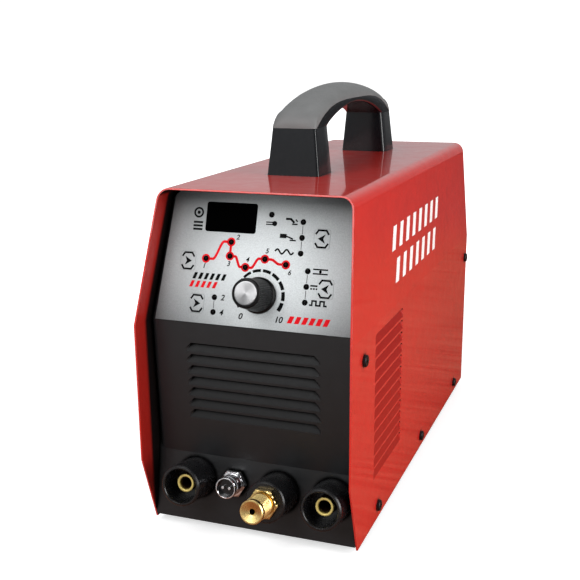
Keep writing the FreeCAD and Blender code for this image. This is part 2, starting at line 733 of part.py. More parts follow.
def make_knob():
    gap = size("board_gap")
    film = size("overlay_sheet")
    shaft = size("shaft_radius")
    frame = on_face(FASCIA, KNOB[0], KNOB[1], 0)
    length = size("knob_length")
    wide = size("knob_radius")
    narrow = wide - 1.2
    cap_radius = 7.9
    top = film + 0.8 + length
    low = film + 0.8
    body = turned("knob_blank", [(shaft, low + 2.5), (7.5, low + 2.5), (7.5, low), (wide + 1.2, low),
                                 (wide + 1.2, low + 2.6), (wide, low + 3.6), (narrow, top - 0.8),
                                 (narrow - 0.8, top), (cap_radius, top),
                                 (cap_radius, top - 0.6), (shaft, top - 0.6)])
    groove = new_sketch(body, "knob_groove", "XY_Plane", low + 3.6)
    draw_circle(groove, "0.75", (wide + 0.25, 0.0))
    flute = pocket(body, groove, length - 6.4, backwards=True)
    DOC.recompute()
    fluted = body.newObject("PartDesign::PolarPattern", "knob_flutes")
    fluted.Originals = [flute]
    fluted.Axis = (plane_of(body, "Z_Axis"), [""])
    fluted.Angle = 360
    fluted.Occurrences = 36
    body.Tip = fluted
    body.Placement = frame
    keep("amps_knob", body)
    cap = turned("cap_blank", [(0, top - 0.6), (cap_radius, top - 0.6), (cap_radius, top + 0.15),
                               (cap_radius - 0.4, top + 0.5), (0, top + 0.7)], frame)
    keep("knob_cap", cap)
    stem = rod("shaft_rod", "shaft_radius", top - 0.6 + gap - 2.0)
    stem.Placement = on_face(FASCIA, KNOB[0], KNOB[1], -gap + 2.0)
    keep("pot_shaft", stem)

    wall = size("panel_sheet")
    collar = shaft + 0.05
    bushing = 3.7
    bushing_top = 2.8
    floor = -gap + 1.5
    pot = turned("pot_blank", [(0, -gap), (8.0, -gap), (8.0, -wall), (bushing, -wall), (bushing, bushing_top),
                               (collar, bushing_top), (collar, floor), (0, floor)], frame)
    keep("potentiometer", pot)
    nut = hexagon("pot_nut_blank", 10.0, 1.8)
    bore = rod("pot_nut_bore", bushing, 1.8)
    nut.Placement = frame
    bore.Placement = frame
    keep("pot_nut", cut("pot_nut_cut", nut, [bore]))


# ---------------------------------------------------------------- connectors
def make_power_socket(name, at):
    """Panel socket for a welding lead: insulating barrel round a brass insert."""
    radius = size("socket_radius")
    reach = size("socket_reach")
    well = radius - size("socket_wall")
    brass = size("insert_radius")
    hole = size("plug_radius")
    face = reach - size("socket_recess")
    wall = size("panel_sheet")
    neck, back = 10.5, -12.0
    frame = on_face(SOCKETS, at[0], at[1], 0)
    barrel = turned(name + "_barrel", [(brass, back), (neck, back), (neck, 0), (radius, 0),
                                       (radius, reach - 1.0), (radius - 1.0, reach), (well + 0.4, reach),
                                       (well, reach - 0.6), (well, 9.0), (brass, 9.0)], frame)
    insert = turned(name + "_brass", [(0, back - 10), (5.0, back - 10), (5.0, back - 0.0), (brass, back),
                                      (brass, face - 0.6), (brass - 0.6, face), (hole + 0.5, face),
                                      (hole, face - 0.5), (hole, face - 22.0), (0, face - 24.0)], frame)
    nut = hexagon(name + "_nut_blank", 22.0, 4.0)
    bore = rod(name + "_nut_bore", neck, 4.0)
    for piece in (nut, bore):
        piece.Placement = on_face(SOCKETS, at[0], at[1], -wall - 4.0)
    return barrel, insert, cut(name + "_nut_cut", nut, [bore])


def make_connectors():
    sockets = [make_power_socket("left", LEFT_SOCKET), make_power_socket("right", RIGHT_SOCKET)]
    barrels, inserts, nuts = (list(pieces) for pieces in zip(*sockets))
    keep("output_socket_bodies", group("barrels", barrels))
    keep("output_socket_inserts", group("inserts", inserts))
    wall = size("panel_sheet")
    radius, reach = size("socket_radius"), size("socket_reach")
    nipple, tip = size("nipple_radius"), size("socket_reach") + size("nipple_reach")
    frame = on_face(SOCKETS, TORCH_SOCKET[0], TORCH_SOCKET[1], 0)
    stem, neck, back, bore = 7.0, 10.5, -12.0, 2.0
    block = turned("torch_barrel", [(stem, back), (neck, back), (neck, 0), (radius, 0), (radius, reach - 1.0),
                                    (radius - 1.0, reach), (stem, reach)], frame)
    keep("torch_socket_body", block)
    hex_rise = 4.5
    shoulder = reach + hex_rise
    spindle = turned("torch_spindle", [(bore, back - 12), (4.0, back - 12), (4.0, back - 4), (stem, back - 4),
                                       (stem, reach), (nipple - 1.2, reach), (nipple - 1.2, shoulder + 1.8),
                                       (nipple, shoulder + 3.0), (nipple, tip - 1.0),
                                       (nipple - 1.0, tip), (nipple - 2.0, tip), (bore, tip - 2.2)], frame)
    collar = hexagon("torch_hex", 19.0, hex_rise)
    drill = rod("torch_hex_bore", bore + 1.0, hex_rise)
    for piece in (collar, drill):
        piece.Placement = on_face(SOCKETS, TORCH_SOCKET[0], TORCH_SOCKET[1], reach)
    keep("torch_gas_nipple", fuse("torch_nipple_whole", [spindle, cut("torch_hex_ring", collar, [drill])]))
    nut = hexagon("torch_nut_blank", 22.0, 4.0)
    nut_bore = rod("torch_nut_bore", neck, 4.0)
    for piece in (nut, nut_bore):
        piece.Placement = on_face(SOCKETS, TORCH_SOCKET[0], TORCH_SOCKET[1], -wall - 4.0)
    nuts.append(cut("torch_nut_cut", nut, [nut_bore]))
    keep("socket_locknuts", group("locknuts", nuts))

    outer, out = size("signal_radius"), size("signal_reach")
    frame = on_face(SOCKETS, SIGNAL_SOCKET[0], SIGNAL_SOCKET[1], 0)
    inner = outer - 1.1
    nut_low, nut_high = 1.5, 6.0
    free = outer - size("free_relief")
    sleeve = turned("signal_sleeve", [(inner - 0.5, -9.0), (7.0, -9.0), (7.0, 0), (8.6, 0), (8.6, nut_low),
                                      (outer, nut_low), (outer, nut_high), (free, nut_high),
                                      (free, out - 0.5), (free - 0.5, out), (inner, out),
                                      (inner, 3.0), (inner - 0.5, 3.0)], frame)
    keep("signal_shell", sleeve)
    core = turned("signal_core", [(0, -9.0), (inner - 0.5, -9.0), (inner - 0.5, 3.0), (inner, 3.0),
                                  (inner, out - 3.5), (0, out - 3.5)], frame)
    pin_places = [(-2.5, 0.0), (2.5, 0.0)]
    pin = 1.0
    holes, pins = [], []
    for number, (x, y) in enumerate(pin_places):
        at = on_face(SOCKETS, SIGNAL_SOCKET[0] + x, SIGNAL_SOCKET[1] + y, -13.0)
        holes.append(rod("signal_pin_hole_%d" % number, pin, out + 13.0))
        holes[-1].Placement = at
        pins.append(rod("signal_pin_%d" % number, pin, out - 1.0 + 13.0))
        pins[-1].Placement = at
    keep("signal_insert", cut("signal_insert_cut", core, holes))
    keep("signal_pins", group("signal_pin_pair", pins))
    ring = hexagon("signal_nut_blank", 17.5, nut_high - nut_low)
    ring_bore = rod("signal_nut_bore", outer, nut_high - nut_low)
    for piece in (ring, ring_bore):
        piece.Placement = on_face(SOCKETS, SIGNAL_SOCKET[0], SIGNAL_SOCKET[1], nut_low)
    keep("signal_nut", cut("signal_nut_cut", ring, [ring_bore]))


# ---------------------------------------------------------------- rear
FAN_CENTRE = Vector(0, 0, FLOOR + size("fan_rise"))
FAN_PITCH = 52.5
SWITCH = (30.0, FLOOR + 212.0)
GLAND = (-46.0, FLOOR + 38.0)
GAS_INLET = (60.0, FLOOR + 38.0)
EARTH = (0.0, FLOOR + 30.0)


def make_rear_panel():
    top = FLOOR + size("panel_top")
    body = new_body("rear_shell")
    section = new_sketch(body, "rear_section", "XZ_Plane", -(REAR_FACE - size("panel_depth")))
    draw_polygon(section, case_outline(FLOOR + 3.0, top, size("panel_half_top"), 75.9, CORNER_CLIP))
    pad(body, section, "panel_depth", backwards=True)
    hollow = new_body("rear_hollow")
    sheet = size("rear_sheet")
    inside = new_sketch(hollow, "rear_hollow_section", "XZ_Plane", -(REAR_FACE - size("panel_depth") - 5.0))
    draw_polygon(inside, case_outline(FLOOR + 3.0 + sheet, top - sheet, size("panel_half_top") - sheet,
                                      75.9 - sheet, CORNER_CLIP))
    pad(hollow, inside, "panel_depth + 5 - rear_sheet", backwards=True)
    body = cut("rear_tray", body, [hollow])
    behind = REAR_FACE - 5
    tools = [rod("fan_opening", "fan_hole", 10.0, (0, behind, FAN_CENTRE.z), ALONG_Y)]
    corners = [(x, behind, FAN_CENTRE.z + z) for x in (-FAN_PITCH, FAN_PITCH) for z in (-FAN_PITCH, FAN_PITCH)]
    tools += round_holes("fan_hole_", 2.2, 10.0, corners, ALONG_Y)
    tools.append(box("switch_opening", 27.8, 10.0, 21.8, (SWITCH[0] - 13.9, behind, SWITCH[1] - 10.9)))
    for name, radius, (x, z) in (("gland_opening", 10.1, GLAND), ("gas_opening", 6.5, GAS_INLET),
                                 ("earth_opening", 3.1, EARTH)):
        tools.append(rod(name, radius, 10.0, (x, behind, z), ALONG_Y))
    holes = [(side * 72.0, FRONT + SIDE_SCREWS[1][0], FLOOR + SIDE_SCREWS[1][1]) for side in (1, -1)]
    tools += round_holes("rear_side_hole", "screw_shank + 0.1", 12.0,
                         [(x - 6, y, z) for x, y, z in holes], ALONG_X)
    keep("rear_panel", cut("rear_cut", body, tools))


def make_fan():
    span, depth = size("fan_size"), size("fan_depth")
    back = REAR_FACE - size("rear_sheet")
    start = back - depth
    z = FAN_CENTRE.z
    block = box("fan_block", "fan_size", "fan_depth", "fan_size", (-span / 2, start, z - span / 2))
    duct = rod("fan_duct", span / 2 - 2.5, depth + 2, (0, start - 1, z), ALONG_Y)
    corners = [(x, start - 1, z + dz) for x in (-FAN_PITCH, FAN_PITCH) for dz in (-FAN_PITCH, FAN_PITCH)]
    bores = round_holes("fan_bore", 2.2, depth + 2, corners, ALONG_Y)
    waist = []
    for x in (-span / 2 - 1, span / 2 - 8):
        for dz in (-span / 2 - 1, span / 2 - 8):
            waist.append(box("fan_relief", 9.0, depth - 10.0, 9.0, (x, start + 5, z + dz)))
    frame = cut("fan_ring", block, [duct] + bores + waist)
    spider = [rod("fan_motor_mount", 19.0, 3.0, (0, start, z), ALONG_Y)]
    for angle in (45, 135, 225, 315):
        strut = box("fan_strut", 42.0, 3.0, 5.0)
        strut.Placement = Placement(Vector(0, start, z), Rotation(Vector(0, 1, 0), angle)).multiply(
            Placement(Vector(17, 0, -2.5), Rotation()))
        spider.append(strut)
    bearing = rod("fan_bearing", 1.55, 8.0, (0, start - 1, z), ALONG_Y)
    keep("fan_frame", cut("fan_frame_cut", fuse("fan_frame_whole", [frame] + spider), [bearing]))

    hub = rod("rotor_hub", 19.0, 28.0, (0, start + 4.5, z), ALONG_Y)
    pin = rod("rotor_pin", 1.5, 6.0, (0, start, z), ALONG_Y)
    blades = []
    count = 7
    for number in range(count):
        blade = box("rotor_blade", 38.0, 1.8, 27.0)
        turn = Rotation(Vector(0, 1, 0), number * 360.0 / count).multiply(Rotation(Vector(1, 0, 0), 42.0))
        blade.Placement = Placement(Vector(0, start + 18.5, z), turn).multiply(
            Placement(Vector(17.0, -0.9, -13.5), Rotation()))
        blades.append(blade)
    sweep = fuse("rotor_blades", blades)
    swept = rod("rotor_swept", 55.0, 24.0, (0, start + 6.5, z), ALONG_Y)
    keep("fan_rotor", fuse("rotor_whole", [hub, pin, common("rotor_trimmed", sweep, swept)]))

    wire = 0.9
    rings = []
    guard = REAR_FACE + 3.0
    for number, radius in enumerate((14.0, 26.0, 38.0, 50.0)):
        ring = DOC.addObject("Part::Torus", "guard_ring_%d" % number)
        fix(ring, "Radius1", radius)
        fix(ring, "Radius2", wire)
        rings.append(place(ring, (0, guard, z), ALONG_Y))
    for angle in (45, 135, 225, 315):
        spoke = rod("guard_spoke", wire, FAN_PITCH * math.sqrt(2) - 3.0 - 12.0)
        turn = Rotation(Vector(0, 1, 0), angle)
        spoke.Placement = Placement(Vector(0, guard, z), turn).multiply(Placement(Vector(12, 0, 0), ALONG_X))
        rings.append(spoke)
        eye = DOC.addObject("Part::Torus", "guard_eye")
        eye.Radius1 = 3.4
        eye.Radius2 = wire
        eye.Placement = Placement(Vector(0, guard, z), turn).multiply(
            Placement(Vector(FAN_PITCH * math.sqrt(2), 0, 0), ALONG_Y))
        rings.append(eye)
    keep("fan_guard", fuse("guard_whole", rings))
    places = [Placement(Vector(x, guard + wire, zz), ALONG_Y) for x, y, zz in corners]
    screws("fan_screws", 4.0, 2.2, 1.95, 16.0, places)


def make_rear_fittings():
    inside = REAR_FACE - size("rear_sheet")
    x, z = SWITCH
    flange = box("switch_flange", 31.0, 2.0, 25.0, (x - 15.5, REAR_FACE, z - 12.5))
    block = box("switch_block", 27.6, 28.0, 21.6, (x - 13.8, REAR_FACE - 28.0, z - 10.8))
    hollow = box("switch_hollow", 21.0, 12.0, 17.4, (x - 10.5, REAR_FACE - 9.5, z - 8.7))
    pivot = rod("switch_pivot", 1.25, 27.0, (x - 13.5, REAR_FACE, z), ALONG_X)
    blades = [box("switch_blade_%d" % i, 6.3, 8.0, 0.8, (x - 3.15, REAR_FACE - 36.0, z + dz))
              for i, dz in enumerate((-7.0, 0.0, 7.0))]
    housing = fuse("switch_whole", [flange, block] + blades)
    keep("switch_housing", cut("switch_cut", housing, [hollow, pivot]))
    body = new_body("rocker_blank")
    side = new_sketch(body, "rocker_side", "YZ_Plane")
    draw_polygon(side, [(2.6, -7.8), (1.2, 0.0), (2.6, 7.8), (0.0, 8.0), (-5.0, 5.0), (-5.0, -5.0), (0.0, -8.0)])
    paddle = pad(body, side, 20.6, both_ways=True)
    DOC.recompute()
    tilt = Rotation(Vector(1, 0, 0), -10.0)
    body.Placement = Placement(Vector(x, REAR_FACE, z), tilt)
    pins = rod("rocker_pin", 1.2, 26.0, (x - 13.0, REAR_FACE, z), ALONG_X)
    keep("power_rocker", fuse("rocker_whole", [body, pins]))

    x, z = GLAND
    hex_flange = hexagon("gland_hex", 24.0, 6.0, (x, REAR_FACE, z), ALONG_Y)
    dome = cone("gland_dome", 11.5, 9.0, 14.0, (x, REAR_FACE + 6.0, z), ALONG_Y)
    thread = rod("gland_thread", 10.0, 10.5, (x, inside - 9.0, z), ALONG_Y)
    bore = rod("gland_bore", 5.5, 40.0, (x, inside - 12.0, z), ALONG_Y)
    keep("cable_gland", cut("gland_cut", fuse("gland_whole", [hex_flange, dome, thread]), [bore]))
    nut = hexagon("gland_nut_blank", 26.0, 5.0, (x, inside - 5.0, z), ALONG_Y)
    nut_bore = rod("gland_nut_bore", 10.0, 5.0, (x, inside - 5.0, z), ALONG_Y)
    keep("gland_locknut", cut("gland_nut_cut", nut, [nut_bore]))

    x, z = GAS_INLET
    reach = size("inlet_reach") + size("rear_inset")
    collar = hexagon("inlet_hex", 17.0, 6.0, (x, REAR_FACE, z), ALONG_Y)
    stem = rod("inlet_stem", 4.0, reach, (x, REAR_FACE, z), ALONG_Y)
    ridges = [cone("inlet_ridge_%d" % i, 4.9, 4.0, 4.0, (x, REAR_FACE + reach - 4.2 * (i + 1), z), ALONG_Y)
              for i in range(3)]
    thread = rod("inlet_thread", 6.4, 12.0, (x, REAR_FACE - 12.0, z), ALONG_Y)
    duct = rod("inlet_duct", 2.2, reach + 20, (x, REAR_FACE - 15, z), ALONG_Y)
    keep("gas_inlet", cut("inlet_cut", fuse("inlet_whole", [collar, stem, thread] + ridges), [duct]))
    nut = hexagon("inlet_nut_blank", 17.0, 4.0, (x, inside - 4.0, z), ALONG_Y)
    nut_bore = rod("inlet_nut_bore", 6.4, 4.0, (x, inside - 4.0, z), ALONG_Y)
    keep("gas_inlet_nut", cut("inlet_nut_cut", nut, [nut_bore]))

    x, z = EARTH
    stud, nut_depth = size("earth_radius"), 5.0
    free = stud - size("free_relief")
    nut_starts = (inside - nut_depth, REAR_FACE, REAR_FACE + 6.5)
    clear = nut_starts[-1] + nut_depth
    keep("earth_stud", turned("earth_stud_blank", [(0, REAR_FACE - 12.0), (stud, REAR_FACE - 12.0),
                                                   (stud, clear), (free, clear), (free, REAR_FACE + 19.5),
                                                   (free - 0.5, REAR_FACE + 20.0), (0, REAR_FACE + 20.0)],
                              Placement(Vector(x, 0, z), ALONG_Y)))
    nuts = []
    for number, back in enumerate(nut_starts):
        blank = hexagon("earth_nut_%d" % number, 10.0, nut_depth, (x, back, z), ALONG_Y)
        hole = rod("earth_nut_bore_%d" % number, "earth_radius", nut_depth, (x, back, z), ALONG_Y)
        nuts.append(cut("earth_nut_cut_%d" % number, blank, [hole]))
    keep("earth_nuts", group("earth_nut_set", nuts))


# ---------------------------------------------------------------- handle
HANDLE_Y = FRONT + size("handle_middle")


def handle_screw_places():
    spread = size("handle_half_length") - size("handle_leg") / 2
    middle = FRONT + size("handle_middle")
    return [(size("handle_shift") + x, middle + y) for x in (-9.0, 9.0) for y in (-spread, spread)]


def draw_loop(sketch, start, steps):
    """Closed outline from start through steps: (end,) for a line, (middle, end) for an arc."""
    here = start
    ids = []
    for step in steps:
        a, b = Vector(here[0], here[1], 0), Vector(step[-1][0], step[-1][1], 0)
        if len(step) == 1:
            ids.append(sketch.addGeometry(Part.LineSegment(a, b)))
        else:
            middle = Vector(step[0][0], step[0][1], 0)
            arc = Part.Arc(a, middle, b)
            ids.append(sketch.addGeometry(arc))
        here = step[-1]
    return ids


def make_handle():
    half, leg = size("handle_half_length"), size("handle_leg")
    rise, start = size("handle_rise"), size("grip_start")
    shift = size("handle_shift")
    y, z = HANDLE_Y, TOP
    inner = half - leg
    crown, corner = 305.0, 15.0              # radii of the crest and of its two ends
    corner_y = half - corner
    corner_z = rise - crown + math.sqrt((crown - corner) ** 2 - corner_y ** 2)
    lean = math.asin(corner_y / (crown - corner))
    shoulder = crown * math.sin(lean)
    shoulder_rise = rise - crown * (1 - math.cos(lean))
    half_turn = (math.pi / 2 + lean) / 2
    bend_y = corner_y + corner * math.sin(half_turn)
    bend_z = corner_z + corner * math.cos(half_turn)
    arch_low, arch_high = start + 0.3, rise - 15.7
    body = new_body("handle_blank")
    side = new_sketch(body, "handle_side", "YZ_Plane")
    draw_loop(side, (y - half, z), [
        ((y - half, z + corner_z),),
        ((y - bend_y, z + bend_z), (y - shoulder, z + shoulder_rise)),
        ((y, z + rise), (y + shoulder, z + shoulder_rise)),
        ((y + bend_y, z + bend_z), (y + half, z + corner_z)),
        ((y + half, z),),
        ((y + inner, z),),
        ((y + inner, z + arch_low),),
        ((y, z + arch_high), (y - inner, z + arch_low)),
        ((y - inner, z),),
        ((y - half, z),)])
    block = pad(body, side, 60.0, both_ways=True)
    wide, narrow = size("handle_half_width"), size("handle_half_top")
    trim = new_sketch(body, "handle_front", "XZ_Plane")
    draw_polygon(trim, [(shift - wide, z), (shift + wide, z), (shift + narrow, z + start),
                        (shift + narrow, z + 80), (shift - narrow, z + 80), (shift - narrow, z + start)])
    draw_polygon(trim, [(-60, z - 20), (60, z - 20), (60, z + 100), (-60, z + 100)])
    pocket(body, trim, 900.0, both_ways=True)

    lid = new_body("handle_lid")
    above = new_sketch(lid, "handle_lid_side", "YZ_Plane")
    draw_loop(above, (y - half - 5, z + start), [
        ((y - inner - 2.0, z + start),),
        ((y, z + arch_high + 3.5), (y + inner + 2.0, z + start)),
        ((y + half + 5, z + start),),
        ((y + half + 5, z + rise + 20),),
        ((y - half - 5, z + rise + 20),),
        ((y - half - 5, z + start),)])
    pad(lid, above, 80.0, both_ways=True)
    keep("handle_grip", common("grip_cut", body, lid))
    holes = [rod("handle_screw_hole_%d" % i, "screw_shank", 18.0, (x, yy, z - 2))
             for i, (x, yy) in enumerate(handle_screw_places())]
    keep("handle_base", cut("handle_base_cut", cut("handle_lower", body, [lid]), holes))
    flip = Rotation(Vector(1, 0, 0), 180)
    screws("handle_screws", 4.0, 2.2, size("screw_shank"), 14.0,
           [Placement(Vector(x, yy, z - size("cover_sheet")), flip) for x, yy in handle_screw_places()])


# ---------------------------------------------------------------- inside the case
PLATE = FLOOR + 1.5 + size("base_sheet")
DECK = 92.0
BOARD_LEVEL = 152.0


def make_power_stage():
    deck = new_body("deck_bridge")
    section = new_sketch(deck, "deck_section", "XZ_Plane", 70.0)
    half, sheet = 70.0, 2.0
    foot = 10.0
    draw_polygon(section, [(-half, PLATE), (-half + foot, PLATE), (-half + foot, PLATE + sheet),
                           (-half + sheet, PLATE + sheet), (-half + sheet, DECK - sheet),
                           (half - sheet, DECK - sheet), (half - sheet, PLATE + sheet),
                           (half - foot, PLATE + sheet), (half - foot, PLATE), (half, PLATE), (half, DECK),
                           (-half, DECK)])
    pad(deck, section, 200.0, backwards=True)
    keep("deck_bridge", deck)

    sinks, chips = [], []
    base, fin_count, fin = 6.0, 9, 1.6
    length, width, height = 170.0, 44.0, BOARD_LEVEL - DECK
    for number, side in enumerate((-1, 1)):
        inner = side * 14.0
        plate = box("sink_plate_%d" % number, base, length, height,
                    (inner if side > 0 else inner - base, -60.0, DECK))
        fins = []
        for index in range(fin_count):
            low = (inner + base) if side > 0 else (inner - width)
            level = DECK + index * (height - fin) / (fin_count - 1)
            fins.append(box("sink_fin_%d_%d" % (number, index), width - base, length, fin, (low, -60.0, level)))
        sinks.append(fuse("sink_whole_%d" % number, [plate] + fins))
        for index in range(4):
            at_x = inner - 5.0 if side > 0 else inner
            chips.append(box("chip_%d_%d" % (number, index), 5.0, 16.0, 21.0,
                             (at_x, -45.0 + index * 38.0, BOARD_LEVEL - 27.0)))
    keep("heatsinks", group("sink_pair", sinks))
    keep("power_transistors", group("chips", chips))
    keep("power_board", box("power_board_sheet", 136.0, 220.0, 1.6, (-68.0, -100.0, BOARD_LEVEL)))
    level = BOARD_LEVEL + 1.6
    cans = [rod("can_%d" % i, 17.5, 45.0, (-30.0, y, level)) for i, y in enumerate((-60.0, -18.0, 24.0, 66.0))]
    keep("bus_capacitors", group("cans", cans))


def make_magnetics():
    wide, deep, high, arm = 66.0, 28.0, 58.0, 11.0
    leg = 20.0
    window = (wide - leg) / 2 - arm
    x, y = -22.0, -15.0
    block = box("core_block", wide, deep, high, (x - wide / 2, y, PLATE))
    gaps = [box("core_window_%d" % i, window, deep + 2, high - 2 * arm, (left, y - 1, PLATE + arm))
            for i, left in enumerate((x - leg / 2 - window, x + leg / 2))]
    keep("transformer_core", cut("core_cut", block, gaps))
    gap = 0.4
    outer = box("winding_block", leg + 2 * (window - 1.0), deep + 2 * (window - 1.0), high - 2 * arm - 1.0,
                (x - leg / 2 - window + 1.0, y - window + 1.0, PLATE + arm + 0.5))
    inner = box("winding_hole", leg + gap, deep + gap, high, (x - leg / 2 - gap / 2, y - gap / 2, PLATE))
    keep("transformer_winding", cut("winding_cut", outer, [inner]))

    choke = DOC.addObject("Part::Torus", "choke_ring")
    choke.Radius1 = 21.0
    choke.Radius2 = 10.0
    keep("output_choke", place(choke, (-20.0, 75.0, PLATE + 10.0)))

    plate = box("rectifier_plate", 92.0, 5.0, 50.0, (-64.0, -112.0, PLATE))
    blocks = [box("diode_%d" % i, 18.0, 9.0, 22.0, (-58.0 + i * 30.0, -107.0, PLATE + 20.0)) for i in range(3)]
    keep("output_rectifier", fuse("rectifier_whole", [plate] + blocks))


def make_gas_line():
    x, z = GAS_INLET
    rear = REAR_FACE - 12.0
    y = rear - 30.0
    block = box("valve_block", 24.0, 30.0, 20.0, (x - 12.0, y, z - 10.0))
    coil_y = y + 8.0
    seat = rod("valve_seat", 4.05, 6.0, (x, coil_y, z + 6.0))
    spout = rod("valve_spout", 4.0, 10.0, (x, y - 10.0, z), ALONG_Y)
    keep("gas_valve", cut("valve_cut", fuse("valve_whole", [block, spout]),
                          [rod("valve_passage", 2.2, 60.0, (x, y - 12.0, z), ALONG_Y), seat]))
    coil = rod("coil_block", 11.0, 18.0, (x, coil_y, z + 10.0))
    bore = rod("coil_bore", 4.05, 14.0, (x, coil_y, z + 10.0))
    keep("valve_coil", cut("coil_cut", coil, [bore]))
    keep("valve_plunger", rod("plunger_rod", 4.0, 14.0, (x, coil_y, z + 6.5)))

    frame = on_face(SOCKETS, TORCH_SOCKET[0], TORCH_SOCKET[1], -21.0)
    end = frame.Base
    inward = frame.Rotation.multVec(Vector(0, 0, -1))
    start = Vector(x, y - 6.0, z)
    stops = [start, Vector(x, 60.0, z), Vector(x, -70.0, z), Vector(x - 6, -105.0, z - 3.0),
             end + inward * 22, end]
    curve = Part.BSplineCurve()
    curve.interpolate(stops, InitialTangent=Vector(0, -1, 0), FinalTangent=inward * -1)
    path = Part.Wire(curve.toShape())
    rings = [Part.Wire(Part.makeCircle(radius, start, Vector(0, -1, 0))) for radius in (6.0, 4.15)]
    ring_face = Part.Face(rings, "Part::FaceMakerBullseye")
    keep("gas_hose", raw("gas_hose_tube", path.makePipe(ring_face)))


def export_parts():
    DOC.recompute()
    failed = [obj.Name for obj in DOC.Objects if "Invalid" in obj.State or "Error" in obj.State]
    if failed:
        raise RuntimeError("failed features: " + ", ".join(failed))
    os.makedirs("parts", exist_ok=True)
    for node, obj in PARTS.items():
        shape = obj.Shape
        if shape.isNull() or not shape.isValid() or not shape.Solids:
            raise RuntimeError("bad shape: " + node)
        shape.exportStep(os.path.join("parts", node + ".step"))


make_cover()
make_base()
make_front_panel()
make_overlay()
make_controls()
make_knob()
make_connectors()
make_rear_panel()
make_fan()
make_rear_fittings()
make_handle()
make_power_stage()
make_magnetics()
make_gas_line()
export_parts()
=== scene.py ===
"""Looks of a portable inverter TIG welder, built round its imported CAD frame.

The frame is in metres. Every size written in this file is in millimetres and passes through MM.
"""
import json
import math
import bmesh
import bpy
from mathutils import Matrix, Vector


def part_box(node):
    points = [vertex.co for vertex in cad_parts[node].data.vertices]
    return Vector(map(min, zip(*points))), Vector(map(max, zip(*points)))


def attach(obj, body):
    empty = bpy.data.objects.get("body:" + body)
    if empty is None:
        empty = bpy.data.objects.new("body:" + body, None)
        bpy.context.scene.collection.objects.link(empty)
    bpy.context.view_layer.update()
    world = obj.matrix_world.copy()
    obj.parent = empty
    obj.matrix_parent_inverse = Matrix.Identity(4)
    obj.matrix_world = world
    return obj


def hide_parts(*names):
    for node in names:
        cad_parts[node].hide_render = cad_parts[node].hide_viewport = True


MM = 0.001
TURN = 2 * math.pi

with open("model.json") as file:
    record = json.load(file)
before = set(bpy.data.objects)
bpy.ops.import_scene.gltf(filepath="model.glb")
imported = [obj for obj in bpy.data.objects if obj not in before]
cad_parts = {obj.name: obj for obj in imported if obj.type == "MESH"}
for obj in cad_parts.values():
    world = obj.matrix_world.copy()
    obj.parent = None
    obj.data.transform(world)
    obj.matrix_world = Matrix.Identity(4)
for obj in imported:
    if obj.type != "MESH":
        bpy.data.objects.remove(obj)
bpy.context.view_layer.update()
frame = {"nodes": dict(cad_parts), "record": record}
NODES = frame["nodes"]
RECORD = frame["record"]
JOINTS = {joint["name"]: joint for joint in RECORD["behaviour"]["joints"]}
MOUNTS = {mount["name"]: mount for mount in RECORD["mounts"]}


# ---------------------------------------------------------------- frames on the machine
class Face:
    """A flat face of the machine: u runs right, v runs up it and w runs out of it."""

    def __init__(self, origin, out, right=(1, 0, 0)):
        self.origin = Vector(origin)
        self.out = Vector(out).normalized()
        self.right = Vector(right)
        self.up = self.out.cross(self.right)

    def matrix(self, u=0.0, v=0.0, w=0.0):
        place = self.origin + (self.right * u + self.up * v + self.out * w) * MM
        turn = Matrix((self.right, self.up, self.out)).transposed().to_4x4()
        return Matrix.Translation(place) @ turn


def on_mount(name, back):
    """The face that carries a connector, with its origin on the connector's axis."""
    mount = MOUNTS[name]
    out = Vector(mount["axis"]).normalized()
    return Face(Vector(mount["pos_m"]) - out * back * MM, out)


TORCH_POINT, SIGNAL_POINT, SOCKET_POINT = 43.0, 11.5, 8.5     # mount points' heights over the front panel
KNOB_JOINT = JOINTS["amps_knob_turn"]
KNOB_U, KNOB_V = 4.6, 22.4                # the knob's axis on the fascia
FILM = 0.5                                # the printed film stands this far off the panel
KNOB_FACE = Face(KNOB_JOINT["pos_m"], KNOB_JOINT["axis"])
FASCIA = Face(KNOB_FACE.matrix(-KNOB_U, -KNOB_V).translation, KNOB_JOINT["axis"])
TORCH = on_mount("torch_gas_nipple", TORCH_POINT)
SIGNAL = on_mount("signal_connector", SIGNAL_POINT)
SOCKETS = {side: on_mount(side + "_output_socket", SOCKET_POINT) for side in ("left", "right")}
COVER_LOW, COVER_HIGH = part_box("cover")
ROOF = COVER_HIGH.z
FILM_LOW, FILM_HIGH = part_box("fascia_overlay")


# ---------------------------------------------------------------- mesh building
def piece(name, verts, faces, material, slot, body="case", matrix=None, smooth=35.0):
    """A mesh piece from corners in millimetres, which rides on a body."""
    mesh = bpy.data.meshes.new(name)
    mesh.from_pydata([tuple(value * MM for value in corner) for corner in verts], [], faces)
    work = bmesh.new()
    work.from_mesh(mesh)
    bmesh.ops.recalc_face_normals(work, faces=work.faces)
    work.to_mesh(mesh)
    work.free()
    mesh.shade_smooth()
    mesh.set_sharp_from_angle(angle=math.radians(smooth))
    mesh.materials.append(material)
    made = bpy.data.objects.new(name, mesh)
    bpy.context.scene.collection.objects.link(made)
    made.matrix_world = matrix or Matrix.Identity(4)
    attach(made, body)
    return made


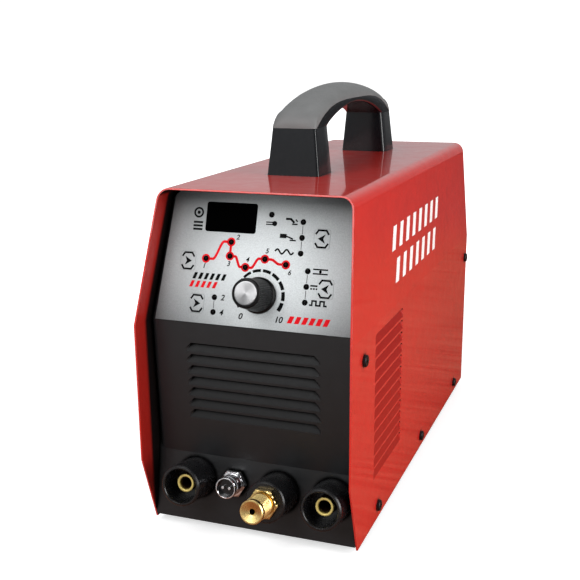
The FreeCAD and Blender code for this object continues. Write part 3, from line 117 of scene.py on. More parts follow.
def lathe(profile, segments=96, shape=None):
    """Turns a closed (radius, height) profile about the w axis. A profile that starts and ends on the
    axis makes a solid piece. shape(radius, angle, height) may change the radius."""
    solid = profile[0][0] == 0
    rings = profile[1:-1] if solid else profile
    verts, faces = [], []
    for radius, height in rings:
        for step in range(segments):
            angle = TURN * step / segments
            reach = shape(radius, angle, height) if shape else radius
            verts.append((reach * math.cos(angle), reach * math.sin(angle), height))
    for ring in range(len(rings) - (1 if solid else 0)):
        start, end = ring * segments, (ring + 1) % len(rings) * segments
        for step in range(segments):
            after = (step + 1) % segments
            faces.append((start + step, start + after, end + after, end + step))
    if solid:
        last = (len(rings) - 1) * segments
        for ring, height in ((0, profile[0][1]), (last, profile[-1][1])):
            verts.append((0, 0, height))
            hub = len(verts) - 1
            faces += [(ring + step, ring + (step + 1) % segments, hub) for step in range(segments)]
    return verts, faces


def dense(profile, step):
    """The same profile with no stretch longer than step."""
    points = [profile[0]]
    for (r0, h0), (r1, h1) in zip(profile, profile[1:]):
        count = max(1, math.ceil(math.hypot(r1 - r0, h1 - h0) / step))
        points += [(r0 + (r1 - r0) * i / count, h0 + (h1 - h0) * i / count) for i in range(1, count + 1)]
    return points


def hexagonal(across_flats, chamfer=0.0, low=0.0, high=0.0):
    """A lathe shape that flattens a disc into a hexagon with turned-down corners."""
    corner = across_flats / math.sqrt(3)

    def shape(radius, angle, height):
        flat = across_flats / 2 / math.cos((angle % (TURN / 6)) - TURN / 12)
        near_end = max(0.0, chamfer - min(height - low, high - height)) if chamfer else 0.0
        return min(radius, flat, corner - 1.7 * near_end)
    return shape


def threaded(pitch, depth, low, high, outside):
    """A lathe shape that cuts a thread between two heights into the surface outside a radius."""
    def shape(radius, angle, height):
        if not low <= height <= high or radius < outside:
            return radius
        phase = (height / pitch - angle / TURN) % 1.0
        fade = min(1.0, (height - low) / pitch, (high - height) / pitch)
        return radius - depth * fade * abs(2 * phase - 1) ** 0.8
    return shape


# ---------------------------------------------------------------- materials
class Finish:
    """A node-built material: helpers that add nodes and feed the Principled shader."""

    def __init__(self, name):
        self.material = bpy.data.materials.new(name)
        self.material.use_nodes = True
        self.tree = self.material.node_tree
        self.shader = self.tree.nodes["Principled BSDF"]
        self.place = self.add("TexCoord").outputs["Object"]

    def add(self, kind, inputs=None, **settings):
        made = self.tree.nodes.new("ShaderNode" + kind)
        for key, value in settings.items():
            setattr(made, key, value)
        for key, value in (inputs or {}).items():
            self.feed(made.inputs[key], value)
        return made

    def feed(self, socket, value):
        if isinstance(value, bpy.types.NodeSocket):
            self.tree.links.new(value, socket)
        elif isinstance(value, tuple) and len(value) == 3 and len(socket.default_value) == 4:
            socket.default_value = (*value, 1.0)
        else:
            socket.default_value = value

    def set(self, **inputs):
        for key, value in inputs.items():
            self.feed(self.shader.inputs[key.replace("_", " ")], value)

    def noise(self, size, detail=3.0, stretch=(1, 1, 1)):
        """Noise whose blots are about size millimetres across, stretched along the axes."""
        squeeze = Vector([1 / part for part in stretch])
        scaled = self.add("Mapping", {"Vector": self.place, "Scale": squeeze})
        made = self.add("TexNoise", {"Vector": scaled.outputs["Vector"], "Scale": 1 / (size * MM),
                                     "Detail": detail, "Roughness": 0.6})
        return made.outputs["Fac"]

    def spread(self, value, low, high, start=0.3, end=0.7):
        made = self.add("MapRange", {"Value": value, "From Min": start, "From Max": end,
                                     "To Min": low, "To Max": high})
        return made.outputs["Result"]

    def mix(self, share, first, second):
        made = self.add("Mix", data_type="RGBA")
        for socket, value in ((made.inputs[0], share), (made.inputs[6], first), (made.inputs[7], second)):
            self.feed(socket, value)
        return made.outputs[2]

    def math(self, operation, first, second):
        return self.add("Math", {0: first, 1: second}, operation=operation).outputs[0]

    def darken_hollows(self, dark, reach=6.0, start=0.45, end=0.92, specular=None):
        """Paints shade into narrow hollows: takes the colour, and the specular share if one is given, towards
        dark where ambient occlusion finds the surface closed in.
        """
        sky = self.add("AmbientOcclusion", {"Distance": reach * MM}, samples=8).outputs["AO"]
        open_share = self.spread(sky, 0.0, 1.0, start, end)
        self.set(Base_Color=self.mix(open_share, dark, self.painted()))
        if specular:
            self.set(Specular_IOR_Level=self.math("MULTIPLY", open_share, specular))
        return self

    def painted(self):
        """The colour that the shader has so far."""
        return self.shader.inputs["Base Color"].links[0].from_socket

    def facing(self):
        """The X, Y and Z parts of the surface's true direction."""
        return self.add("SeparateXYZ", {"Vector": self.add("NewGeometry").outputs["True Normal"]}).outputs

    def spot(self):
        """The X, Y and Z parts of the surface's place."""
        return self.add("SeparateXYZ", {"Vector": self.place}).outputs

    def louvre_share(self, turned, spot, least, full):
        """1 on pressed louvre faces: those that look up, below the fascia."""
        below_fascia = self.spread(spot["Z"], 1.0, 0.0, FILM_LOW.z - 3 * MM, FILM_LOW.z)
        return self.math("MULTIPLY", below_fascia, self.spread(turned["Z"], 0.0, 1.0, least, full))


def shade(colour, share):
    return tuple(min(1.0, channel * share) for channel in colour)


def finish(name, colour, rough, metal=0.0, coat=0.0, coat_rough=0.05, tint=0.08, tint_size=9.0,
           rough_spread=0.06, grain=0.03, grain_size=0.35, stretch=(1, 1, 1), wear=None, wear_share=0.5,
           edge=0.3, specular=0.5):
    """A general finish: drifting colour and roughness, fine grain, softened edges and worn corners.
    grain is the bump's height in millimetres and edge the radius of the softened corners."""
    made = Finish(name)
    drift = made.noise(tint_size, 4.0, stretch)
    paint = made.mix(made.spread(drift, 0.0, 1.0), shade(colour, 1 - tint), shade(colour, 1 + tint))
    rough_noise = made.noise(tint_size / 4, 3.0, stretch)
    roughness = made.spread(rough_noise, max(0.02, rough - rough_spread), rough + rough_spread)
    soft = made.add("Bevel", {"Radius": edge * MM}, samples=4).outputs["Normal"]
    if wear:
        true = made.add("NewGeometry").outputs["Normal"]
        meet = made.add("VectorMath", {0: soft, 1: true}, operation="DOT_PRODUCT").outputs["Value"]
        corner = made.spread(meet, 1.0, 0.0, 0.80, 0.99)
        chips = made.spread(made.noise(1.6, 4.0), 0.0, wear_share, 0.48, 0.66)
        worn = made.math("MULTIPLY", corner, chips)
        paint = made.mix(worn, paint, wear)
    bump = made.add("Bump", {"Strength": 1.0, "Distance": grain * MM, "Normal": soft,
                             "Height": made.noise(grain_size, 4.0, stretch)}).outputs["Normal"]
    made.set(Base_Color=paint, Roughness=roughness, Metallic=metal, Coat_Weight=coat,
             Coat_Roughness=coat_rough, Normal=bump, Specular_IOR_Level=specular)
    if coat:
        made.set(Coat_Normal=soft)
    return made


RED = (0.62, 0.022, 0.014)
SILVER = (0.44, 0.47, 0.475)
BRASS = (0.83, 0.56, 0.20)
COPPER = (0.62, 0.26, 0.12)
STEEL = (0.56, 0.56, 0.57)


def red_paint():
    """Gloss powder coat: faint orange peel, paler at worn edges. Painted shade darkens it in hollows, on what
    faces down, in the groove between the side walls and the front panel, on the walls' inner sides and on the
    pressed louvre faces, where the coat's gloss fades too."""
    gloss, groove_edge, groove_end = 0.85, 4.0, 7.5
    made = finish("red_paint", RED, 0.34, coat=gloss, coat_rough=0.05, tint=0.04, tint_size=60.0,
                  grain=0.003, grain_size=1.6, wear=(0.70, 0.07, 0.05), wear_share=0.12, edge=0.5,
                  specular=0.18)
    # Painted shade: hollows such as the side louvre recesses are darkened towards deep red.
    made.darken_hollows(shade(RED, 0.10), 4.0, 0.60, 0.96)
    turned, spot = made.facing(), made.spot()
    # Masks for painted shade: the walls' inner sides, the groove beside the front panel and the faces that
    # look down.
    inner_wall = made.spread(made.math("MULTIPLY", turned["X"], spot["X"]), 1.0, 0.0, -0.03, -0.01)
    rake = (FILM_HIGH.y - FILM_LOW.y) / (FILM_HIGH.z - FILM_LOW.z)
    over_brow = made.math("MAXIMUM", made.math("SUBTRACT", spot["Z"], FILM_LOW.z), 0.0)
    panel = made.math("ADD", made.math("MULTIPLY", over_brow, rake), FILM_LOW.y)
    groove = made.spread(made.math("SUBTRACT", panel, spot["Y"]), 1.0, 0.0, groove_edge * MM, groove_end * MM)
    downward = made.spread(turned["Z"], 1.0, 0.0, -0.6, -0.4)
    shadow_share = made.math("MAXIMUM", made.math("MULTIPLY", inner_wall, groove), downward)
    louvre = made.louvre_share(turned, spot, 0.15, 0.25)
    # Painted shade: the walls' inner sides and the louvre faces take a darker red.
    painted = made.mix(made.math("MAXIMUM", inner_wall, louvre), made.painted(), shade(RED, 0.55))
    dull = made.math("MAXIMUM", shadow_share, made.math("MULTIPLY", louvre, 0.7))
    # Painted shadow: the groove on the inner walls and the downward faces go nearly black, with no coat.
    made.set(Base_Color=made.mix(shadow_share, painted, (0.006, 0.004, 0.004)),
             Coat_Weight=made.spread(dull, gloss, 0.0, 0.0, 1.0))
    return made


def black_panel():
    """Black powder coat with painted shade: the pressed louvre faces are painted darker than the plate, their
    slits are painted black as shadow and the hollows are darkened.
    """
    made = finish("black_panel", (0.0100, 0.0106, 0.0118), 0.40, grain=0.008, grain_size=0.6, tint=0.10,
                  wear=(0.07, 0.07, 0.07), wear_share=0.35, edge=0.35)
    turned, spot = made.facing(), made.spot()
    louvre = made.louvre_share(turned, spot, 0.22, 0.30)
    slit_shadow = made.spread(turned["Z"], 1.0, 0.0, -0.6, -0.3)
    # Painted shade: the louvre faces are darker than the plate, and the downward slits are painted black as
    # shadow.
    painted = made.mix(louvre, made.painted(), (0.0045, 0.0045, 0.005))
    made.set(Base_Color=made.mix(slit_shadow, painted, (0.0004, 0.0004, 0.0004)))
    # Painted shade also dims the shine on the louvre faces and slits, and in the hollows.
    shine = made.math("MULTIPLY", made.spread(louvre, 0.5, 0.2, 0.0, 1.0), made.math("SUBTRACT", 1.0, slit_shadow))
    return made.darken_hollows((0.0003, 0.0003, 0.0003), 4.0, 0.60, 0.90, shine)


def fascia_film(name, edge):
    """Silver print under a satin film: metallic speckle, under painted light that is bright in the middle and
    falls to painted shade at the corners.
    """
    made = finish(name, SILVER, 0.45, grain=0.003, grain_size=0.5, edge=edge, specular=0.35)
    spot = made.spot()
    middle, half_wide = 8 * MM, 70 * MM
    centre, half_high = FILM_LOW.z + 35 * MM, 45 * MM
    across = made.math("DIVIDE", made.math("SUBTRACT", spot["X"], middle), half_wide)
    up = made.math("DIVIDE", made.math("SUBTRACT", spot["Z"], centre), half_high)
    reach = made.math("SQRT", made.math("ADD", made.math("MULTIPLY", across, across),
                                        made.math("MULTIPLY", up, up)), 0.0)
    # Painted light: a painted highlight in the middle of the film that fades to painted shade towards the
    # corners.
    fall = made.add("MapRange", {"Value": reach, "From Min": 0.10, "From Max": 1.60, "To Min": 0.84,
                                 "To Max": 0.06}, interpolation_type="SMOOTHSTEP").outputs["Result"]
    grey = made.math("MULTIPLY", fall, made.spread(made.noise(0.7, 1.0), 0.90, 1.10))
    painted_light_tone = made.add("CombineColor", {"Red": made.math("MULTIPLY", grey, 0.955), "Green": grey,
                                     "Blue": made.math("MULTIPLY", grey, 1.01)}).outputs["Color"]
    made.set(Base_Color=painted_light_tone)
    return made


def spun(name, colour, rough):
    """A face-turned metal: light gathers in rays round the axis, over fine rings."""
    made = Finish(name)
    spot = made.spot()
    across = made.math("POWER", spot["X"], 2.0)
    up = made.math("POWER", spot["Y"], 2.0)
    radius = made.math("SQRT", made.math("ADD", across, up), 0.0)
    rings = made.add("TexNoise", {"W": radius, "Scale": 1 / (0.16 * MM), "Detail": 2.0},
                     noise_dimensions="1D").outputs["Fac"]
    bump = made.add("Bump", {"Strength": 0.5, "Distance": 0.01 * MM, "Height": rings})
    tangent = made.add("Tangent", direction_type="RADIAL", axis="Z")
    drift = made.spread(made.noise(3.0), 0.0, 1.0)
    made.set(Base_Color=made.mix(drift, shade(colour, 0.92), shade(colour, 1.06)), Metallic=1.0,
             Roughness=made.spread(rings, rough - 0.05, rough + 0.08), Anisotropic=0.85,
             Normal=bump.outputs["Normal"], Tangent=tangent.outputs["Tangent"])
    return made


def circuit_board():
    """Green solder mask with faint tracks on a square grid."""
    made = finish("circuit_board", (0.02, 0.16, 0.06), 0.35, tint=0.15, grain=0.01, grain_size=0.5)
    tracks = made.add("TexBrick", {"Vector": made.place, "Scale": 1 / (26 * MM), "Mortar Size": 0.02,
                                   "Color1": (0.02, 0.17, 0.06), "Color2": (0.03, 0.20, 0.07),
                                   "Mortar": (0.05, 0.30, 0.12)})
    made.set(Base_Color=tracks.outputs["Color"])
    return made


def winding():
    """Enamelled copper wire laid side by side."""
    made = finish("copper_winding", COPPER, 0.28, metal=0.9, tint=0.12, tint_size=6.0, grain=0.0)
    turns = made.add("TexWave", {"Vector": made.place, "Scale": 1 / (9 * MM), "Distortion": 0.4},
                     bands_direction="Z", wave_profile="SIN")
    bump = made.add("Bump", {"Strength": 0.9, "Distance": 0.5 * MM, "Height": turns.outputs["Fac"]})
    made.set(Normal=bump.outputs["Normal"])
    return made


def make_finishes():
    plain = {
        "display_acrylic": dict(colour=(0.0006, 0.0006, 0.0007), rough=0.12, grain=0.0, edge=0.2,
                                specular=0.0),
        "lamp_lens": dict(colour=(0.0015, 0.0012, 0.0012), rough=0.25, grain=0.0, edge=0.1, specular=0.05),
        "black_plastic": dict(colour=(0.0045, 0.0045, 0.0052), rough=0.27, grain=0.0, rough_spread=0.01,
                              tint=0.15, wear=(0.03, 0.03, 0.03), wear_share=0.1, edge=0.3),
        "knob_plastic": dict(colour=(0.0022, 0.0022, 0.0024), rough=0.34, specular=0.2, grain=0.02,
                             grain_size=0.4, tint=0.2, wear=(0.09, 0.09, 0.09), wear_share=0.5, edge=0.25),
        "steel": dict(colour=STEEL, rough=0.28, metal=1.0, grain=0.006, grain_size=0.2, stretch=(1, 6, 1)),
        "zinc_steel": dict(colour=(0.60, 0.60, 0.57), rough=0.34, metal=1.0, grain=0.01, tint=0.14,
                           tint_size=14.0, edge=0.3),
        "black_screw": dict(colour=(0.016, 0.016, 0.017), rough=0.30, metal=0.6, grain=0.01,
                            wear=(0.30, 0.30, 0.30), wear_share=0.6, edge=0.2),
        "brass": dict(colour=BRASS, rough=0.19, metal=1.0, grain=0.004, grain_size=0.2, tint=0.08,
                      tint_size=4.0, wear=(0.95, 0.78, 0.46), wear_share=0.6, edge=0.18),
        "chrome": dict(colour=(0.80, 0.80, 0.82), rough=0.09, metal=1.0, grain=0.002, tint=0.04, edge=0.2),
        "rubber_black": dict(colour=(0.012, 0.012, 0.012), rough=0.72, grain=0.03, grain_size=0.7, tint=0.2,
                             wear=(0.05, 0.05, 0.05), edge=0.6, specular=0.3),
        "handle_black": dict(colour=(0.004, 0.005, 0.0065), rough=0.20, grain=0.004, grain_size=1.5,
                             tint=0.1, coat=0.3, coat_rough=0.10, edge=0.2, specular=0.4),
        "grip_grey": dict(colour=(0.165, 0.167, 0.166), rough=0.50, grain=0.02, grain_size=0.4, tint=0.07,
                          tint_size=12.0, edge=0.2, specular=0.42),
        "heatsink_alloy": dict(colour=(0.68, 0.68, 0.69), rough=0.36, metal=1.0, grain=0.01,
                               stretch=(1, 14, 1), tint=0.08, edge=0.3),
        "capacitor_sleeve": dict(colour=(0.015, 0.02, 0.06), rough=0.22, grain=0.004, coat=0.4, edge=0.8),
        "ferrite": dict(colour=(0.05, 0.05, 0.055), rough=0.6, grain=0.03, grain_size=0.5, edge=0.6),
        "coil_epoxy": dict(colour=(0.012, 0.012, 0.02), rough=0.3, grain=0.01, edge=0.5),
    }
    made = {slot: finish(slot, **settings) for slot, settings in plain.items()}
    made["black_panel"] = black_panel()
    made["red_paint"] = red_paint()
    made["fascia_film"] = fascia_film("fascia_film", 0.15)
    made["key_film"] = fascia_film("key_film", 0.02)
    made["spun_aluminium"] = spun("spun_aluminium", (0.40, 0.40, 0.405), 0.36)
    made["circuit_board"] = circuit_board()
    made["copper_winding"] = winding()
    return {slot: built.material for slot, built in made.items()}


FINISHES = make_finishes()
INKS = {name: finish("ink_" + name, colour, 0.5, grain=0.002, edge=0.02, specular=0.05).material
        for name, colour in (("black", (0.003, 0.003, 0.0035)), ("red", (0.80, 0.008, 0.016)),
                             ("grey", (0.06, 0.06, 0.063)), ("white", (0.86, 0.80, 0.78)))}


def paint_frame():
    """Gives every node of the frame the finish that the record names for it."""
    for part in RECORD["subparts"]:
        node = NODES[part["node"]]
        node.data.materials.clear()
        node.data.materials.append(FINISHES[part["material_slot"]])


# ---------------------------------------------------------------- printed marks
class Marks:
    """Flat marks of one ink on a face, gathered into one thin mesh."""

    def __init__(self, low=FILM + 0.01, high=FILM + 0.07):
        self.low, self.high = low, high
        self.verts, self.faces = [], []

    def ribbon(self, left, right, closed=False):
        """A band between two rows of (u, v) points of the same length."""
        first, count = len(self.verts), len(left)
        for (lu, lv), (ru, rv) in zip(left, right):
            self.verts += [(lu, lv, self.high), (ru, rv, self.high), (ru, rv, self.low), (lu, lv, self.low)]
        for step in range(count if closed else count - 1):
            here, there = first + 4 * step, first + 4 * ((step + 1) % count)
            self.faces += [(here + i, here + (i + 1) % 4, there + (i + 1) % 4, there + i) for i in range(4)]
        if not closed:
            last = first + 4 * (count - 1)
            self.faces += [(first, first + 3, first + 2, first + 1), (last, last + 1, last + 2, last + 3)]

    def stroke(self, points, width, closed=False):
        """A line of even width through (u, v) points."""
        left, right = [], []
        count = len(points)
        for i, (u, v) in enumerate(points):
            before = points[i - 1] if i or closed else points[0]
            after = points[(i + 1) % count] if i < count - 1 or closed else points[-1]
            entry = Vector((u - before[0], v - before[1]))
            leave = Vector((after[0] - u, after[1] - v))
            entry = entry.normalized() if entry.length else leave.normalized()
            leave = leave.normalized() if leave.length else entry
            side = Vector((-entry.y - leave.y, entry.x + leave.x)).normalized()
            reach = width / 2 / max(0.5, side.dot(Vector((-entry.y, entry.x))))
            left.append((u + side.x * reach, v + side.y * reach))
            right.append((u - side.x * reach, v - side.y * reach))
        self.ribbon(left, right, closed)

    def arc(self, centre, radius, start, end, width, steps=12, end_width=None):
        """A circular band from one angle to another, in degrees, with an optional taper."""
        left, right = [], []
        for step in range(steps + 1):
            share = step / steps
            angle = math.radians(start + (end - start) * share)
            half = (width + ((end_width or width) - width) * share) / 2
            for row, reach in ((left, radius + half), (right, radius - half)):
                row.append((centre[0] + reach * math.cos(angle), centre[1] + reach * math.sin(angle)))
        self.ribbon(left, right)

    def ring(self, centre, inner, outer, steps=40):
        rows = []
        for reach in (outer, inner):
            rows.append([(centre[0] + reach * math.cos(TURN * i / steps),
                          centre[1] + reach * math.sin(TURN * i / steps)) for i in range(steps)])
        self.ribbon(*rows, closed=True)

    def block(self, corners):
        """A filled shape with straight sides, given anticlockwise."""
        first, count = len(self.verts), len(corners)
        self.verts += [(u, v, level) for level in (self.high, self.low) for u, v in corners]
        back = first + count
        self.faces += [tuple(range(first, back)), tuple(range(back + count - 1, back - 1, -1))]
        for i in range(count):
            after = (i + 1) % count
            self.faces.append((first + i, back + i, back + after, first + after))

    def slanted(self, centre, width, height, lean):
        """A parallelogram with its upper side moved right by lean."""
        u, v = centre
        half, rise, shift = width / 2, height / 2, lean / 2
        self.block([(u - half - shift, v - rise), (u + half - shift, v - rise),
                    (u + half + shift, v + rise), (u - half + shift, v + rise)])

    def disc(self, centre, radius, steps=32):
        self.block([(centre[0] + radius * math.cos(TURN * i / steps),
                     centre[1] + radius * math.sin(TURN * i / steps)) for i in range(steps)])

    def put(self, name, face, ink, slot="fascia_film", body="case", at=(0.0, 0.0)):
        return piece(name, self.verts, self.faces, INKS[ink], slot, body, face.matrix(*at))


def eased(start, end, flat=0.22, steps=18):
    """An S-shaped run between two points, level at both ends."""
    points = []
    for step in range(steps + 1):
        share = step / steps
        bend = min(1.0, max(0.0, (share - flat) / (1 - 2 * flat)))
        rise = bend * bend * (3 - 2 * bend)
        points.append((start[0] + (end[0] - start[0]) * share, start[1] + (end[1] - start[1]) * rise))
    return points


PROCESS_LAMPS = [(30.6, 73.4), (30.7, 62.9), (30.8, 52.5)]
WAVEFORM_LAMPS = [(37.0, 41.2), (37.0, 30.8), (37.0, 20.4)]
TRIGGER_LAMPS = [(-28.2, 18.7), (-28.2, 8.6)]
CYCLE_LAMPS = [(-37.3, 44.8), (-19.7, 57.1), (-19.7, 47.5), (-7.7, 40.6), (5.9, 47.1), (21.2, 44.3)]
LAMP_RADIUS = 1.95


def make_cycle_curve():
    """The red line of the welding cycle through its six lamps."""
    marks = Marks()
    thick = 1.75
    pre, peak, hold, pulse, base, post = CYCLE_LAMPS
    gap = LAMP_RADIUS + 0.4
    for start, end in ((pre, peak), (hold, pulse), (pulse, base), (base, post)):
        marks.stroke(eased((start[0] + gap, start[1]), (end[0] - gap, end[1])), thick)
    marks.stroke([(peak[0], peak[1] - gap), (hold[0], hold[1] + gap)], thick)
    for lamp in CYCLE_LAMPS:
        marks.ring(lamp, LAMP_RADIUS + 0.06, LAMP_RADIUS + 1.1)
    marks.put("print_cycle_curve", FASCIA, "red")


def make_lamp_links():
    """Thin lines that join the lamps of one choice."""
    marks = Marks()
    gap = LAMP_RADIUS + 0.5
    for lamps in (PROCESS_LAMPS, WAVEFORM_LAMPS, TRIGGER_LAMPS):
        for (u0, v0), (u1, v1) in zip(lamps, lamps[1:]):
            marks.stroke([(u0, v0 - gap), (u1, v1 + gap)], 0.42)
    marks.put("print_lamp_links", FASCIA, "grey")


def make_dial():
    """Dashes round the knob that thicken from the lowest to the highest current."""
    marks = Marks()
    dashes, sweep, gap = 10, 250.0, 5.0
    radius, thinnest, thicker_by = 16.9, 1.3, 1.4
    pitch = sweep / dashes
    for dash in range(dashes):
        start = 90 + sweep / 2 - dash * pitch - gap / 2
        low, high = (thinnest + thicker_by * (dash + step) / dashes for step in (0, 1))
        marks.arc((KNOB_U, KNOB_V), radius, start, start - pitch + gap, low, 6, high)
    marks.put("print_dial_dashes", FASCIA, "black")


def make_symbols():
    """Plain line symbols beside the lamps, where a maker would print its own wording."""
    marks = Marks()
    fine, line, heavy = 0.95, 1.15, 1.5

    def draw(centre, steps, width):
        marks.stroke([(centre[0] + across, centre[1] + up) for across, up in steps], width)
    thermometer, torch, electrode = (8.1, 71.3), (22.6, 73.5), (20.6, 62.9)
    wave, spot, direct, pulses = (19.2, 52.9), (45.8, 41.3), (42.4, 30.8), (46.4, 20.5)
    for side in (1, -1):
        draw(thermometer, [(-3.8, side * 0.75), (1.2, side * 0.75)], 0.8)
        draw(spot, [(-5.2, side * 1.45), (5.2, side * 1.45)], fine)
    marks.disc((thermometer[0] + 2.4, thermometer[1]), 1.75)
    marks.disc(spot, 0.98)
    draw(torch, [(-4.4, 1.4), (-0.8, 1.4), (1.8, -1.0)], heavy)
    draw(torch, [(2.6, 1.3), (4.0, -0.2)], fine)
    draw(torch, [(0.2, -1.9), (4.2, -1.9)], fine)
    draw(electrode, [(-5.6, 0.5), (-0.8, 0.5)], 2.8)
    draw(electrode, [(-0.8, 0.4), (3.8, -1.2)], 1.0)
    draw(electrode, [(1.6, -2.1), (6.0, -2.1)], fine)
    draw(wave, [(13.2 * (i / 32 - 0.5), 1.5 * math.sin(TURN * 2 * i / 32)) for i in range(33)], line)
    draw(direct, [(-2.6, 1.0), (2.6, 1.0)], 1.1)
    for step in (-1.9, 0.0, 1.9):
        draw(direct, [(step - 0.65, -1.0), (step + 0.65, -1.0)], 1.1)
    rises = ((-6.2, -1), (-4.4, -1), (-4.4, 1), (-1.6, 1), (-1.6, -1), (1.2, -1), (1.2, 1), (4.0, 1),
             (4.0, -1), (6.0, -1))
    draw(pulses, [(across, 1.45 * way) for across, way in rises], line)
    eye, bars = (-45.9, 76.1), (-45.7, 67.0)             # plain signs beside the display
    marks.ring(eye, 2.4, 3.7)
    marks.disc(eye, 1.2)
    for rise in (-2.4, 0.0, 2.4):
        draw(bars, [(-3.5, rise), (3.5, rise)], 1.4)
    marks.put("print_symbols", FASCIA, "black")


def make_badges():
    """A plain badge of slanted bars in two rows on the fascia, and red bars below it to the right."""
    dark, red = Marks(), Marks()
    for step in range(6):
        dark.slanted((-44.2 + 4.3 * step, 32.6), 2.3, 4.4, 1.7)
    for step in range(5):
        red.slanted((-46.0 + 4.3 * step, 26.9), 2.3, 4.4, 1.7)
    for step in range(6):
        red.slanted((28.4 + 5.0 * step, 8.2), 3.2, 4.8, 1.9)
    dark.put("print_badge_bars", FASCIA, "black")
    red.put("print_red_bars", FASCIA, "red")


def make_numbers():
    """The dial's end numbers, the trigger lamps' step numbers and the cycle's lamp numbers."""
    places = [("0", -8.0, 7.3, 4.2), ("10", 19.6, 7.3, 4.2)]
    places += [(text, u + 6.0, v, 4.0) for text, (u, v) in zip("24", TRIGGER_LAMPS)]
    shifts = [(-1.0, -5.2), (4.6, 3.4), (-0.6, -5.4), (1.0, 5.2), (1.0, 5.4), (3.0, -5.2)]
    for number, ((u, v), (du, dv)) in enumerate(zip(CYCLE_LAMPS, shifts), start=1):
        places.append((str(number), u + du, v + dv, 3.4))
    for number, (text, u, v, rise) in enumerate(places):
        curve = bpy.data.curves.new("number_%d" % number, "FONT")
        curve.body = text
        curve.size = rise * 1.37 * MM
        curve.shear = 0.22
        curve.offset = 0.03 * rise * MM
        curve.extrude = 0.03 * MM
        curve.align_x, curve.align_y = "CENTER", "CENTER"
        flat = bpy.data.objects.new("number_%d" % number, curve)
        bpy.context.scene.collection.objects.link(flat)
        bpy.context.view_layer.update()
        mesh = bpy.data.meshes.new_from_object(flat)
        bpy.data.objects.remove(flat)
        made = bpy.data.objects.new("print_number_%d" % number, mesh)
        bpy.context.scene.collection.objects.link(made)
        mesh.materials.clear()
        mesh.materials.append(INKS["black"])
        made.matrix_world = FASCIA.matrix(u, v, FILM + 0.04)
        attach(made, "case")


def make_key_icons():
    """Hexagonal brackets round a dart on each membrane key."""
    keys = {"process_key": (44.7, 63.0, -1), "waveform_key": (50.3, 30.2, -1),
            "parameter_key": (-50.6, 42.4, 1), "trigger_key": (-41.1, 13.6, 1)}
    half_bar, half_span, top, foot = 2.75, 4.55, 5.6, 2.9
    for key, (u, v, way) in keys.items():
        marks = Marks(FILM + 0.16, FILM + 0.22)
        for side in (1, -1):
            marks.stroke([(-half_span, side * foot), (-half_bar, side * top), (half_bar, side * top),
                          (half_span, side * foot)], 1.25)
        dart = [(way * 2.9, 0.0), (way * -2.3, 3.1), (way * -0.9, 0.0), (way * -2.3, -3.1)]
        marks.block(dart if way < 0 else dart[::-1])
        marks.put("print_" + key, FASCIA, "black", "key_film", key + "_body", (u, v))


def make_side_marks():
    """A plain decal of white slanted bars in two rows on each side wall, where it leans in."""
    shoulder, lean_in = 151.0, 8.0                       # where each wall starts to lean in, and how far
    lean = math.atan2(lean_in * MM, COVER_HIGH.z - COVER_LOW.z - shoulder * MM)
    for side, name in ((1, "right"), (-1, "left")):
        foot = Vector((side * COVER_HIGH.x, COVER_LOW.y, COVER_LOW.z + shoulder * MM))
        face = Face(foot, (side * math.cos(lean), 0, math.sin(lean)), (0, side, 0))
        marks = Marks(0.01, 0.08)
        for row, (count, level) in enumerate(((8, 48.0), (7, 24.0))):
            for step in range(count):
                across = 118 + 20.5 * step + 4 * row
                marks.slanted((side * across, level), 9.0, 17.0, 8.5)
        marks.put("decal_" + name, face, "white", "red_paint")


